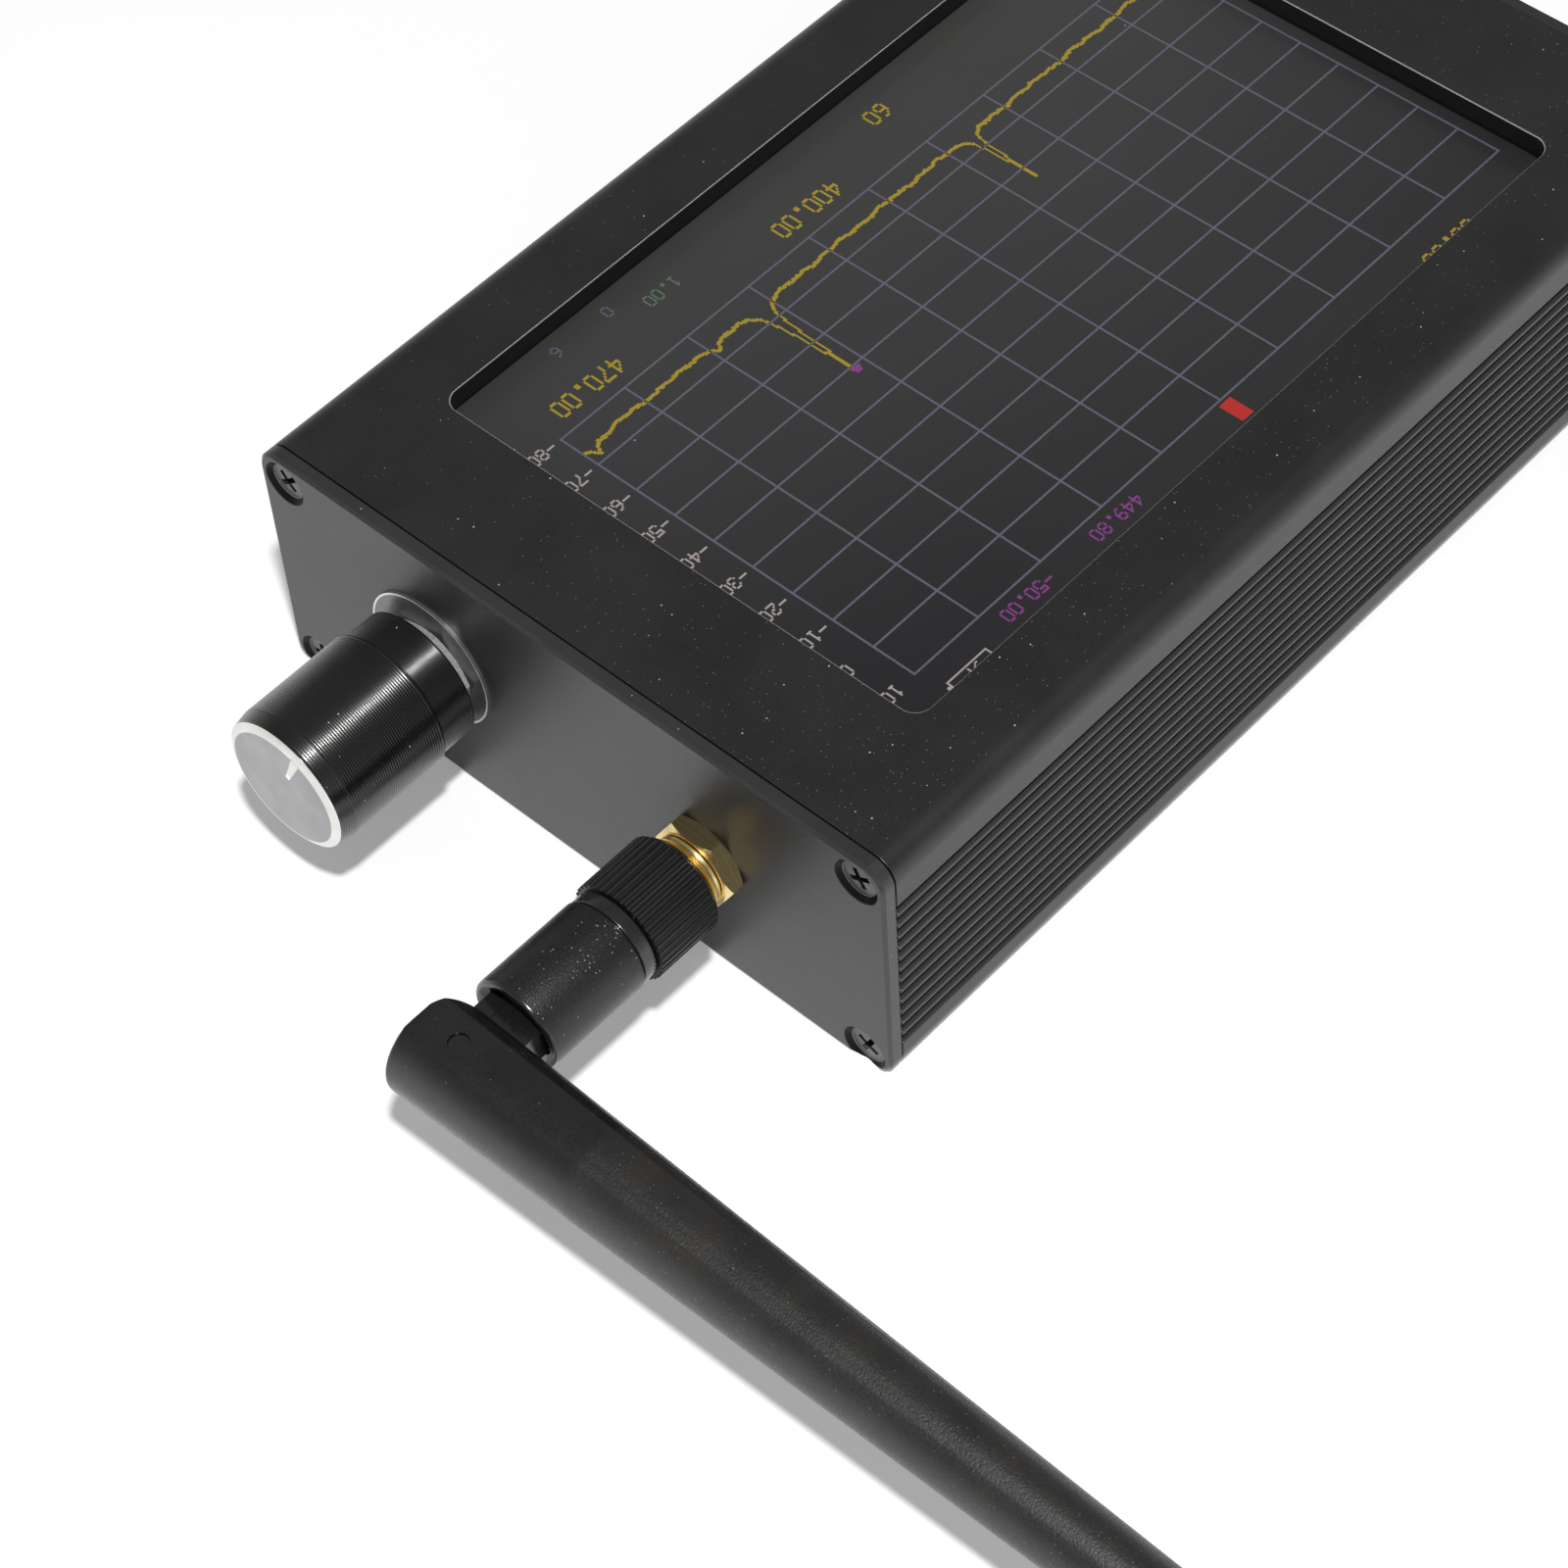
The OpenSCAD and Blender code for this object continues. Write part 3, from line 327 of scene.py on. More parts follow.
def case_paint():
    """Black anodised case: dust with painted glints on its top, groove floors painted lighter as painted
    light, the window's inner faces painted near-black as painted shade, and a bare line round the window's
    edge.
    """
    p = Paint("case_black", 0.42, Specular_IOR_Level=0.7)
    fine, blend = p.grain(9000, 120)
    tint = p.vary(blend, rgb(12, 12, 12), rgb(24, 24, 24), 0.4)
    x, y, z = p.place()
    side = p.off(y)
    # Painted light: the groove floors and sides are painted lighter, standing in for light thrown into
    # them by the white floor.
    painted_groove_light = p.product(p.between(side, HALF_W - GROOVE_DEPTH, HALF_W - 0.06), p.below(z, GROOVES_TOP))
    tint = p.mix(painted_groove_light, tint, rgb(52, 51, 50))
    # Dust specks on the top, made denser towards the +Y edge and the front where the light catches them:
    # partly real dust, partly painted glints.
    near = p.product(p.along(y, -30, 36, 0.2, 1.0), p.along(x, -60, 50, 0.5, 1.0))
    dust = p.product(near, p.above(z, HEIGHT - 0.02))
    tint = p.speckled(tint, 1700, 0.13, dust, rgb(96, 96, 94))
    tint = p.speckled(tint, 700, 0.07, p.product(dust, 0.7), rgb(190, 190, 187))
    window = p.product(p.below(side, WINDOW_Y + 3 * EDGE), p.below(p.off(x), WINDOW_X + 3 * EDGE))
    # Painted shade: the window's inner faces, down to the screen, are painted near-black.
    painted_shade_walls = p.product(window, p.between(z, SCREEN_Z, HEIGHT - EDGE))
    bare = p.product(window, p.between(z, HEIGHT - EDGE, HEIGHT - 0.005))
    p.colour(p.mix(bare, p.mix(painted_shade_walls, tint, rgb(5, 5, 5)), rgb(150, 150, 150)))
    p.roughness_by(blend, 0.37, 0.47)
    p.bump(fine, 0.006)
    return p.material


def panel_paint():
    """Black anodised end panel, painted nearly black, with less sheen, down in the four screw recesses as
    painted shade.
    """
    p = Paint("panel_black", 0.42, Specular_IOR_Level=0.75)
    fine = p.noise(9000, 3)
    # The panel's tint is a little lighter than the case's: partly painted reflection of the bright floor
    # that it faces.
    tint = p.vary(p.noise(150), rgb(32, 32, 33), rgb(37, 37, 38))
    tint = p.speckled(tint, 800, 0.07, 0.3, rgb(170, 170, 168))
    x, y, z = p.place()
    row_z, row_half = (SCREW_HIGH + SCREW_LOW) / 2, (SCREW_HIGH - SCREW_LOW) / 2
    from_screw = p.radius(p.off(p.off(y), SCREW_Y), p.off(p.off(z, row_z), row_half))
    # Painted shade: the screw recesses are painted nearly black and given less sheen.
    painted_recess_shade = p.product(p.below(p.off(x), FACE - 0.06), p.below(from_screw, RECESS_R))
    p.colour(p.mix(painted_recess_shade, tint, rgb(9, 9, 9)))
    p.link(p.spread(painted_recess_shade, 0, 1, 0.75, 0.15), p.shader.inputs["Specular IOR Level"])
    p.roughness_by(fine, 0.36, 0.48)
    p.bump(fine, 0.004)
    return p.material


def washer_metal():
    """Dark washer whose outer rim is bare metal painted near white, by distance from its own centre:
    partly wear, partly a painted highlight on its edge.
    """
    p = Paint("washer", 0.4, 0.7)
    x, y, z = p.place()
    radius = p.radius(p.off(y, WASHER_Y), p.off(z, WASHER_Z))
    # The rim band is partly bare metal and partly painted highlight: near white where a rounded edge would
    # catch the light.
    rim = p.product(p.along(radius, WASHER_R - 0.25, WASHER_R - 0.17), p.below(radius, WASHER_R - 0.02))
    face = p.vary(p.noise(900), rgb(104, 104, 105), rgb(128, 128, 128), 0.3)
    p.colour(p.mix(rim, face, rgb(246, 244, 240)))
    p.roughness(p.spread(rim, 0, 1, 0.3, 0.45))
    return p.material


def sleeve_paint():
    """Black moulding with painted glints: a patch of fine grey specks on its upper side, where the light
    falls.
    """
    p = Paint("sleeve_black", 0.4, Specular_IOR_Level=0.6)
    fine = p.noise(5500, 3)
    x, y, z = p.place()
    # Painted glints: grey specks only on the upper side towards +Y, where the light falls.
    upper = p.along(z, ANTENNA_Z + 0.9, ANTENNA_Z + 3.9)
    outer = p.along(y, ANTENNA_Y - 1.8, ANTENNA_Y + 1.2)
    share = p.product(p.spread(p.noise(420, 1), 0.4, 0.62, 0.1, 1.0), upper, outer)
    tint = p.vary(fine, rgb(15, 15, 15), rgb(25, 25, 25))
    p.colour(p.speckled(tint, 2600, 0.2, share, rgb(150, 150, 148)))
    p.roughness_by(fine, 0.3, 0.44)
    p.bump(fine, 0.03)
    return p.material


def whip_rubber():
    """Moulded rubber: smooth round the hinge, grained and slightly brown along the rod, with pale grains
    along the rod that are partly painted highlight.
    """
    p = Paint("whip_black", 0.4, Specular_IOR_Level=0.75)
    x, y, z = p.place()
    flat_end = ANTENNA_Y + FLAT_LENGTH
    rod = p.along(y, flat_end - 0.5, flat_end + 0.5)
    fine = p.noise(4500, 3)
    broad = p.noise(260, 3)
    smooth = p.vary(broad, rgb(16, 15, 15), rgb(22, 21, 21))
    coarse = p.vary(broad, rgb(20, 19, 18), rgb(31, 29, 27))
    # Pale grains along the rod: partly the rubber's grain, partly painted highlight standing in for its
    # speckled sheen.
    share = p.product(p.spread(p.noise(300), 0.45, 0.7, 0.05, 0.8), p.spread(rod, 0, 1, 0.1, 1.0))
    tint = p.speckled(p.mix(rod, smooth, coarse), 2200, 0.16, share, rgb(104, 98, 86))
    p.colour(p.speckled(tint, 700, 0.06, 0.25, rgb(110, 110, 108)))
    p.roughness(p.math("ADD", p.spread(rod, 0, 1, 0.33, 0.42), p.spread(fine, 0.3, 0.7, -0.08, 0.08)))
    p.bump(p.product(fine, p.spread(rod, 0, 1, 0.25, 1.0)), 0.035)
    return p.material


def display_surface():
    """Dark matt polariser with a painted reflection that greys it towards the rear and the -Y side, and a
    few dust specks.
    """
    p = Paint("display_surface", 0.32)
    x, y, z = p.place()
    # Painted reflection: the screen is made greyer towards the rear and the -Y side, where it reflects the
    # brighter sky.
    painted_reflection = p.math("ADD", p.along(x, -15, 45, 0.3, 0.0), p.along(y, -27, 22, 0.7, 0.0))
    painted_reflection = p.math("ADD", painted_reflection, p.spread(p.noise(25), 0.3, 0.7, -0.06, 0.06))
    base = p.mix(p.spread(painted_reflection, 0, 1), rgb(31, 31, 34), rgb(62, 62, 61))
    p.colour(p.speckled(base, 260, 0.03, 0.12, rgb(150, 150, 148)))
    fine = p.noise(9000)
    p.roughness_by(fine, 0.28, 0.36)
    p.bump(fine, 0.002, 0.5)
    return p.material


def lit(name, colour, glow):
    """Screen ink: a flat colour that also gives a little light of its own."""
    p = Paint(name, 0.4, Emission_Color=colour, Emission_Strength=glow)
    p.colour(p.vary(p.noise(5000, 1), scaled(colour, 0.8), colour, 0.3))
    return p.material


def board_green():
    """Solder mask over copper: faint tracks and pads."""
    p = Paint("board_green", 0.35)
    tracks = p.add("ShaderNodeTexBrick")
    tracks.inputs["Scale"].default_value = 260
    tracks.inputs["Mortar Size"].default_value = 0.06
    p.link(p.where, tracks.inputs["Vector"])
    p.colour(p.mix(tracks.outputs["Fac"], rgb(14, 74, 40), rgb(24, 98, 52)))
    p.bump(tracks.outputs["Fac"], 0.01, 0.5)
    return p.material


def case_paints():
    return {
        "case": case_paint(),
        "panel": panel_paint(),
        "screw": grained("screw_dark", rgb(104, 104, 106), 0.34, metal=0.75, grain=5000, depth_mm=0.003),
        # Painted shade: the faces of the screws' crosses get this near-black matt paint.
        "painted_recess_shade": grained("screw_recess", rgb(10, 10, 10), 0.6, grain=5000),
        "foam": grained("foam_black", rgb(14, 14, 14), 0.9, grain=3000, depth_mm=0.03),
        "display": display_surface(),
    }


def inner_paints():
    return {
        "tray": turned_metal("tray_metal", rgb(200, 202, 205), 0.35, axis="Y", rings=4000),
        "board": board_green(),
        "ribbon": grained("ribbon_amber", rgb(176, 112, 40), 0.35, grain=2500),
        "brass": turned_metal("brass_plain", rgb(205, 165, 90), 0.3, axis="Z"),
        "tin": turned_metal("tin_plate", rgb(190, 190, 192), 0.3, rings=3000),
        "plastic": grained("black_plastic", rgb(30, 30, 30), 0.45, grain=6000),
        "foil": grained("battery_foil", rgb(168, 172, 178), 0.4, metal=0.8, grain=1500, depth_mm=0.02),
        "pad": grained("foam_grey", rgb(52, 52, 52), 0.9, grain=3000, depth_mm=0.03),
        "wire": grained("wire_red", rgb(160, 34, 26), 0.4, grain=5000),
        "light": grained("light_lens", rgb(200, 70, 55), 0.15, grain=2000, Transmission_Weight=0.4),
    }


def knob_paints():
    return {
        "zinc": turned_metal("zinc_plate", rgb(176, 176, 174), 0.32, rings=6000),
        "nut": grained("nut_satin", rgb(178, 178, 175), 0.45, metal=0.45, grain=4000, depth_mm=0.003),
        "washer": washer_metal(),
        "knob": grained("knob_black", rgb(10, 10, 10), 0.23, grain=3000, vary=0.3, depth_mm=0.0008,
                        rough_vary=0.02, specks=(800, 0.07, 0.3), Specular_IOR_Level=0.85),
        "knob_bevel": turned_metal("knob_bevel", rgb(236, 234, 230), 0.3),
        "knob_face": turned_metal("knob_face", rgb(168, 168, 170), 0.34, Anisotropic=0.75),
        "knob_mark": grained("knob_mark", rgb(250, 249, 246), 0.5, grain=4000, vary=0.05),
    }


def antenna_paints():
    return {
        "gold": turned_metal("gold_plate", (0.95, 0.76, 0.38, 1), 0.24),
        "white": grained("white_insulator", rgb(226, 226, 220), 0.45, grain=3000),
        "coupling": grained("coupling_black", rgb(22, 22, 22), 0.4, grain=6000, depth_mm=0.006,
                            specks=(420, 0.04, 0.12)),
        "sleeve": sleeve_paint(),
        "gloss": grained("knuckle_gloss", rgb(26, 26, 26), 0.2, grain=3000, depth_mm=0.001,
                         Specular_IOR_Level=0.8),
        "whip": whip_rubber(),
    }


def ink_paints():
    return {
        "ink_grid": lit("ink_grid", rgb(84, 81, 96), 0.3),
        "ink_yellow": lit("ink_yellow", rgb(136, 118, 34), 0.4),
        "ink_magenta": lit("ink_magenta", rgb(110, 50, 112), 0.4),
        "ink_red": lit("ink_red", rgb(160, 36, 32), 0.35),
        "ink_green": lit("ink_green", rgb(74, 92, 76), 0.4),
        "ink_white": lit("ink_white", rgb(142, 132, 128), 0.4),
    }


# Finish of the CAD nodes that stay

NODE_PAINT = {
    "case": ("case_tube",),
    "panel": ("front_panel", "rear_panel"),
    "foam": ("window_gasket",),
    "display": ("display_glass",),
    "tray": ("display_backlight",),
    "board": ("display_board", "main_board", "encoder_board"),
    "ribbon": ("display_ribbon",),
    "brass": ("board_spacers", "antenna_radiator"),
    "tin": ("board_screws", "shield_cans", "usb_socket", "switch_body"),
    "plastic": ("board_chips", "board_connector", "encoder_header", "switch_slider", "knob_core"),
    "foil": ("battery",),
    "pad": ("battery_pad",),
    "wire": ("battery_lead",),
    "light": ("charge_light",),
    "zinc": ("encoder_body", "encoder_bushing", "encoder_shaft"),
    "nut": ("encoder_nut",),
    "washer": ("encoder_washer",),
    "white": ("encoder_plunger", "socket_insulator"),
    "gold": ("socket_body", "socket_contact", "socket_nut", "coupling_thread", "antenna_core",
             "antenna_contact"),
    "coupling": ("coupling_sleeve",),
}


def paint_nodes(paints):
    for paint, names in NODE_PAINT.items():
        for name in names:
            slots = NODES[name].data.materials
            slots.clear()
            slots.append(paints[paint])


def add_bevel(target, width_mm, segments, degrees, clamp):
    """Rounds the edges that are sharper than an angle."""
    modifier = target.modifiers.new("edges", "BEVEL")
    modifier.width = width_mm * MM
    modifier.segments = segments
    modifier.limit_method = "ANGLE"
    modifier.angle_limit = math.radians(degrees)
    modifier.use_clamp_overlap = clamp


def ease_edges(name, width_mm):
    """Breaks the sharp edges of a node that stays, so that they catch the light."""
    NODES[name].modifiers.new("joined", "WELD").merge_threshold = 1e-7
    add_bevel(NODES[name], width_mm, 2, 60, False)
    NODES[name].modifiers.new("flats", "WEIGHTED_NORMAL").keep_sharp = True


# Mesh building

BOX_FACES = ((0, 1, 3, 2), (4, 6, 7, 5), (0, 4, 5, 1), (2, 3, 7, 6), (0, 2, 6, 4), (1, 5, 7, 3))

# Place of a lathe's point, from its place along the axis and its two places across it
AXES = {
    "X": lambda u, a, b: (u, a, b),
    "Y": lambda u, a, b: (a, u, -b),
    "Z": lambda u, a, b: (a, b, u),
}


def box_corners(low, high):
    """The eight corners that BOX_FACES joins."""
    return [(x, y, z) for x in (low[0], high[0]) for y in (low[1], high[1]) for z in (low[2], high[2])]


def new_mesh(name, verts, faces, materials):
    """A mesh from points in millimetres."""
    mesh = bpy.data.meshes.new(name)
    mesh.from_pydata([tuple(c * MM for c in v) for v in verts], [], faces)
    for material in materials:
        mesh.materials.append(material)
    return mesh


def smooth(mesh, degrees):
    """Shades a mesh smooth, apart from its edges that are sharper than an angle."""
    mesh.shade_smooth()
    mesh.set_sharp_from_angle(angle=math.radians(degrees))


def mesh_object(name, verts, faces, body, materials, angle=32, indices=None):
    """A closed mesh in the part's frame, riding on a body."""
    mesh = new_mesh(name, verts, faces, materials)
    if indices:
        mesh.polygons.foreach_set("material_index", indices)
    work = bmesh.new()
    work.from_mesh(mesh)
    bmesh.ops.remove_doubles(work, verts=work.verts, dist=1e-7)
    bmesh.ops.recalc_face_normals(work, faces=work.faces)
    work.to_mesh(mesh)
    work.free()
    smooth(mesh, angle)
    made = add_object(name, mesh)
    if body:
        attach(made, body)
    return made


def rounded(corners, steps=4):
    """Turns corners (along, radius, rounding) of a profile into points, each corner as an arc."""
    points = []
    count = len(corners)
    for i, (u, r, rounding) in enumerate(corners):
        here = Vector((u, r))
        if not rounding:
            points.append(tuple(here))
            continue
        before = Vector(corners[i - 1][:2]) - here
        after = Vector(corners[(i + 1) % count][:2]) - here
        start = here + before.normalized() * rounding
        end = here + after.normalized() * rounding
        for k in range(steps + 1):
            t = k / steps
            points.append(tuple(start * (1 - t) ** 2 + here * 2 * t * (1 - t) + end * t * t))
    return points


def lathe(name, profile, place, axis, body, materials, count=96, closed=True, zones=None, angle=32):
    """Turns a profile of (along, radius) round an axis. A closed profile makes a ring."""
    verts, rings = [], []
    for u, r in profile:
        ring = []
        for i in range(count if r > 1e-6 else 1):
            t = 2 * math.pi * i / count
            ring.append(len(verts))
            point = AXES[axis](u, r * math.cos(t), r * math.sin(t))
            verts.append(tuple(c + origin for c, origin in zip(point, place)))
        rings.append(ring)
    stops = list(zip(profile, rings))
    pairs = list(zip(stops, stops[1:]))
    if closed:
        pairs.append((stops[-1], stops[0]))
    faces, indices = [], []
    for (start, a), (end, b) in pairs:
        if len(a) == 1 and len(b) == 1:
            continue
        for i in range(count):
            j = (i + 1) % count
            if len(a) == 1:
                faces.append((a[0], b[j], b[i]))
            elif len(b) == 1:
                faces.append((a[i], a[j], b[0]))
            else:
                faces.append((a[i], a[j], b[j], b[i]))
            indices.append(zones(start, end) if zones else 0)
    return mesh_object(name, verts, faces, body, materials, angle, indices)


def block(name, low, high):
    """A plain box used to cut or join."""
    return mesh_object(name, box_corners(low, high), BOX_FACES, None, [])


def rod(name, start, end, radius, place, axis, count=72):
    """A plain cylinder used to cut or join."""
    profile = [(start, 0.0), (start, radius), (end, radius), (end, 0.0)]
    return lathe(name, profile, place, axis, None, [], count=count, closed=False)


def settle(target):
    """Turns a piece's modifiers into its own mesh."""
    bpy.context.view_layer.update()
    graph = bpy.context.evaluated_depsgraph_get()
    shape = bpy.data.meshes.new_from_object(target.evaluated_get(graph))
    target.modifiers.clear()
    target.data = shape


def combine(target, tool, operation):
    """Cuts the tool from the target, or joins it, and removes the tool."""
    modifier = target.modifiers.new("combine", "BOOLEAN")
    modifier.operation = operation
    modifier.solver = "EXACT"
    modifier.object = tool
    settle(target)
    bpy.data.objects.remove(tool)


def finish_shape(target, body, angle=32, bevel_mm=0.0):
    """Rounds the sharp edges, smooths the rest and lets the piece ride."""
    if bevel_mm:
        add_bevel(target, bevel_mm, 3, 40, True)
        settle(target)
    smooth(target.data, angle)
    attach(target, body)


# Knob

RING_PITCH, RING_DEPTH = 0.2585, 0.044
FINE_PITCH, FINE_DEPTH = 0.125, 0.021

# How much the nose narrows in a millimetre, and how far the pointer is turned from straight up
NOSE_TAPER = 0.1875
MARK_DEGREES = -25


def turned_rings(start, end, radius, pitch, depth):
    """Profile corners of fine rings turned into a cylinder."""
    rings = []
    for i in range(round((end - start) / pitch)):
        for k in range(4):
            cut = depth * (1 - math.cos(math.pi * k / 2)) / 2
            rings.append((start + (i + k / 4) * pitch, radius - cut, 0))
    return rings


def make_knob(paints):
    """Turned knob shell: stepped skirt, ringed grip and nose, bare bevel, spun front and pointer."""
    skirt_r, skirt_end = KNOB_R - 0.4, KNOB_BACK + 4.06
    bore_r, bore_end = 5.9, KNOB_END - 2
    grip_end = KNOB_END - 1.98
    bevel = KNOB_END - 0.4
    face, face_r = KNOB_END - 0.03, 5.98
    nose = turned_rings(grip_end + 0.13, bevel - 0.1, KNOB_R, RING_PITCH, RING_DEPTH)
    profile = rounded(
        [(bore_end, 0.0, 0), (bore_end, bore_r, 0), (KNOB_BACK, bore_r, 0.1), (KNOB_BACK, skirt_r, 0.15)]
        + turned_rings(KNOB_BACK + 0.3, skirt_end - 0.26, skirt_r, FINE_PITCH, FINE_DEPTH)
        + [(skirt_end - 0.16, skirt_r, 0.03), (skirt_end - 0.14, skirt_r - 0.08, 0.01),
           (skirt_end - 0.02, skirt_r - 0.08, 0.01), (skirt_end, KNOB_R, 0.1)]
        + turned_rings(skirt_end + 0.24, grip_end - 0.12, KNOB_R, RING_PITCH, RING_DEPTH)
        + [(grip_end - 0.04, KNOB_R, 0.02), (grip_end, KNOB_R - 0.04, 0.01)]
        + [(u, r - NOSE_TAPER * (u - grip_end), 0) for u, r, rounding in nose]
        + [(bevel, KNOB_R - 0.3, 0.04), (KNOB_END, face_r + 0.07, 0.05), (face, face_r, 0.02),
           (face, bore_r, 0), (face, 0.0, 0)])

    def zone(start, end):
        """0 is the black shell, 1 the bare bevel and 2 the spun front."""
        u, r = (start[0] + end[0]) / 2, (start[1] + end[1]) / 2
        if u > bevel - 0.01 and r > face_r:
            return 1
        return 2 if u > face - 0.07 else 0

    knob = lathe("knob_shell_turned", profile, KNOB, "X", None,
                 [paints[key] for key in ("knob", "knob_bevel", "knob_face", "knob_mark")],
                 count=144, closed=False, zones=zone, angle=40)
    cut_pointer(knob, face, paints)
    finish_shape(knob, "knob", angle=40)
    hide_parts("knob_shell")


def cut_pointer(knob, face, paints):
    """Cuts the white pointer notch, which is wider at its outer end."""
    inner_r, outer_r = 2.4, 6.12
    half_width, widening = 0.24, 2.1
    mark = block("mark", (face - 0.15, -half_width, inner_r), (face + 1, half_width, outer_r))
    for v in mark.data.vertices:
        if v.co.z > (inner_r + outer_r) / 2 * MM:
            v.co.y *= widening
    mark.data.materials.append(paints["knob_mark"])
    turn = Matrix.Rotation(math.radians(MARK_DEGREES), 4, "X")
    mark.matrix_world = Matrix.Translation(Vector(KNOB) * MM) @ turn
    combine(knob, mark, "DIFFERENCE")


# Panel screws

HEAD_RECESS, HEAD_R = 0.45, 1.93
SHANK_R, SCREW_LENGTH = 1.2, 9.0
CROSS_DEPTH, CROSS_HALF_LENGTH, CROSS_HALF_WIDTH = 0.9, 1.42, 0.3

# Length and width of the cross at its bottom, as shares of those at its top
CROSS_BOTTOM_LENGTH, CROSS_BOTTOM_WIDTH = 0.62, 0.8

# Degrees that each screw is turned, in the order +Y upper, +Y lower, -Y upper, -Y lower
SCREW_TURNS = {"front": (28, 62, 40, 10), "rear": (15, 50, 33, 74)}


def screw_mesh(paints):
    """One countersunk screw along X, set into a face at 0, with a cross that narrows as it goes in."""
    top, tip = -HEAD_RECESS, -HEAD_RECESS - SCREW_LENGTH
    side = rounded([(top, HEAD_R, 0.1), (top - (HEAD_R - SHANK_R), SHANK_R, 0.05),
                    (tip + 0.25, SHANK_R, 0.1), (tip, SHANK_R - 0.3, 0.05)])
    screw = lathe("screw", [(top, 0.0)] + side + [(tip, 0.0)], (0, 0, 0), "X", None,
                  [paints["screw"], paints["painted_recess_shade"]], count=40, closed=False)
    for degrees in (0, 90):
        wing = block("wing", (top - CROSS_DEPTH, -CROSS_HALF_LENGTH, -CROSS_HALF_WIDTH),
                     (0.2, CROSS_HALF_LENGTH, CROSS_HALF_WIDTH))
        for v in wing.data.vertices:
            if v.co.x < 0:
                v.co.y *= CROSS_BOTTOM_LENGTH
                v.co.z *= CROSS_BOTTOM_WIDTH
        # The cross's faces take the painted shade.
        wing.data.materials.append(paints["painted_recess_shade"])
        wing.matrix_world = Matrix.Rotation(math.radians(degrees), 4, "X")
        combine(screw, wing, "DIFFERENCE")
    mesh = screw.data.copy()
    bpy.data.objects.remove(screw)
    return mesh


def make_screws(paints):
    """The four screws of each end panel, as one piece."""
    source = screw_mesh(paints)
    spots = [(y, z) for y in (SCREW_Y, -SCREW_Y) for z in (SCREW_HIGH, SCREW_LOW)]
    for end, turns in SCREW_TURNS.items():
        x, heading = (FACE, 0) if end == "front" else (-FACE, math.pi)
        work = bmesh.new()
        for (y, z), degrees in zip(spots, turns):
            part = source.copy()
            part.transform(Matrix.Translation(Vector((x, y, z)) * MM) @ Matrix.Rotation(heading, 4, "Z")
                           @ Matrix.Rotation(math.radians(degrees), 4, "X"))
            work.from_mesh(part)
            bpy.data.meshes.remove(part)
        name = end + "_screws_crosshead"
        mesh = new_mesh(name, [], [], [paints["screw"], paints["painted_recess_shade"]])
        work.to_mesh(mesh)
        work.free()
        made = add_object(name, mesh)
        finish_shape(made, "housing", angle=30)
        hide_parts(end + "_panel_screws")


# Antenna

COLLAR_START, SEAM = beyond("antenna_collar", "X", FACE)
SLEEVE_END = beyond("antenna_sleeve", "X", FACE)[1]
COLLAR_R, SLEEVE_R = half("antenna_collar", "Y"), half("antenna_sleeve", "Y")
KNUCKLE_START = beyond("antenna_knuckle", "X", FACE)[0]
KNUCKLE_R = half("antenna_knuckle", "Y")
WHIP_BACK, WHIP_TIP = beyond("antenna_whip", "Y", ANTENNA_Y)
WHIP_R, WHIP_TIP_R = 4.73, 3.0

# Reach of the cutting tools, which is past the piece: across the whip, and along the pin
FAR, THROUGH = 12.0, 9.0


def from_hinge(x, y, z):
    """A place given by its distance from the hinge."""
    return (HINGE[0] + x, HINGE[1] + y, HINGE[2] + z)


def make_neck(paints):
    """Waisted rear end of the coupling's gold ring, just behind its nut."""
    bore_r = 3.3
    front = beyond("coupling_sleeve", "X", FACE)[0] - 0.04
    back = front - 1.38
    outline = rounded([(back, bore_r, 0.05), (back, 3.62, 0.12), (back + 0.42, 3.5, 0.15),
                       (front - 0.46, 3.75, 0.25), (front - 0.24, 4.2, 0.15), (front, 4.25, 0.06),
                       (front, bore_r, 0.05)])
    ring = lathe("coupling_neck", outline, ANTENNA, "X", "coupling", [paints["gold"]])


def make_sleeve(paints):
    """Collar and base sleeve, with a groove at the seam between them and a glossy collar and rim."""
    collar_bore, sleeve_bore = 2.93, 3.42
    floor = KNUCKLE_START - 0.02
    outline = rounded([(COLLAR_START, collar_bore, 0.05), (COLLAR_START, COLLAR_R, 0.18),
                       (SEAM - 0.13, COLLAR_R, 0.12), (SEAM - 0.07, 4.3, 0.05), (SEAM + 0.07, 4.3, 0.05),
                       (SEAM + 0.11, SLEEVE_R, 0.1), (SLEEVE_END, SLEEVE_R, 0.4), (SLEEVE_END, 4.1, 0.25),
                       (SLEEVE_END - 0.45, sleeve_bore, 0.1), (floor, sleeve_bore, 0),
                       (floor, collar_bore, 0)])

    def zone(start, end):
        """0 is the matt moulding and 1 the glossy part."""
        in_collar = max(start[0], end[0]) < SEAM + 0.1
        in_rim = min(start[0], end[0]) > SLEEVE_END - 0.4
        return int(in_collar or in_rim)

    sleeve = lathe("antenna_base_cover", outline, ANTENNA, "X", "antenna_base",
                   [paints["sleeve"], paints["gloss"]], zones=zone)
    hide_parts("antenna_sleeve", "antenna_collar")


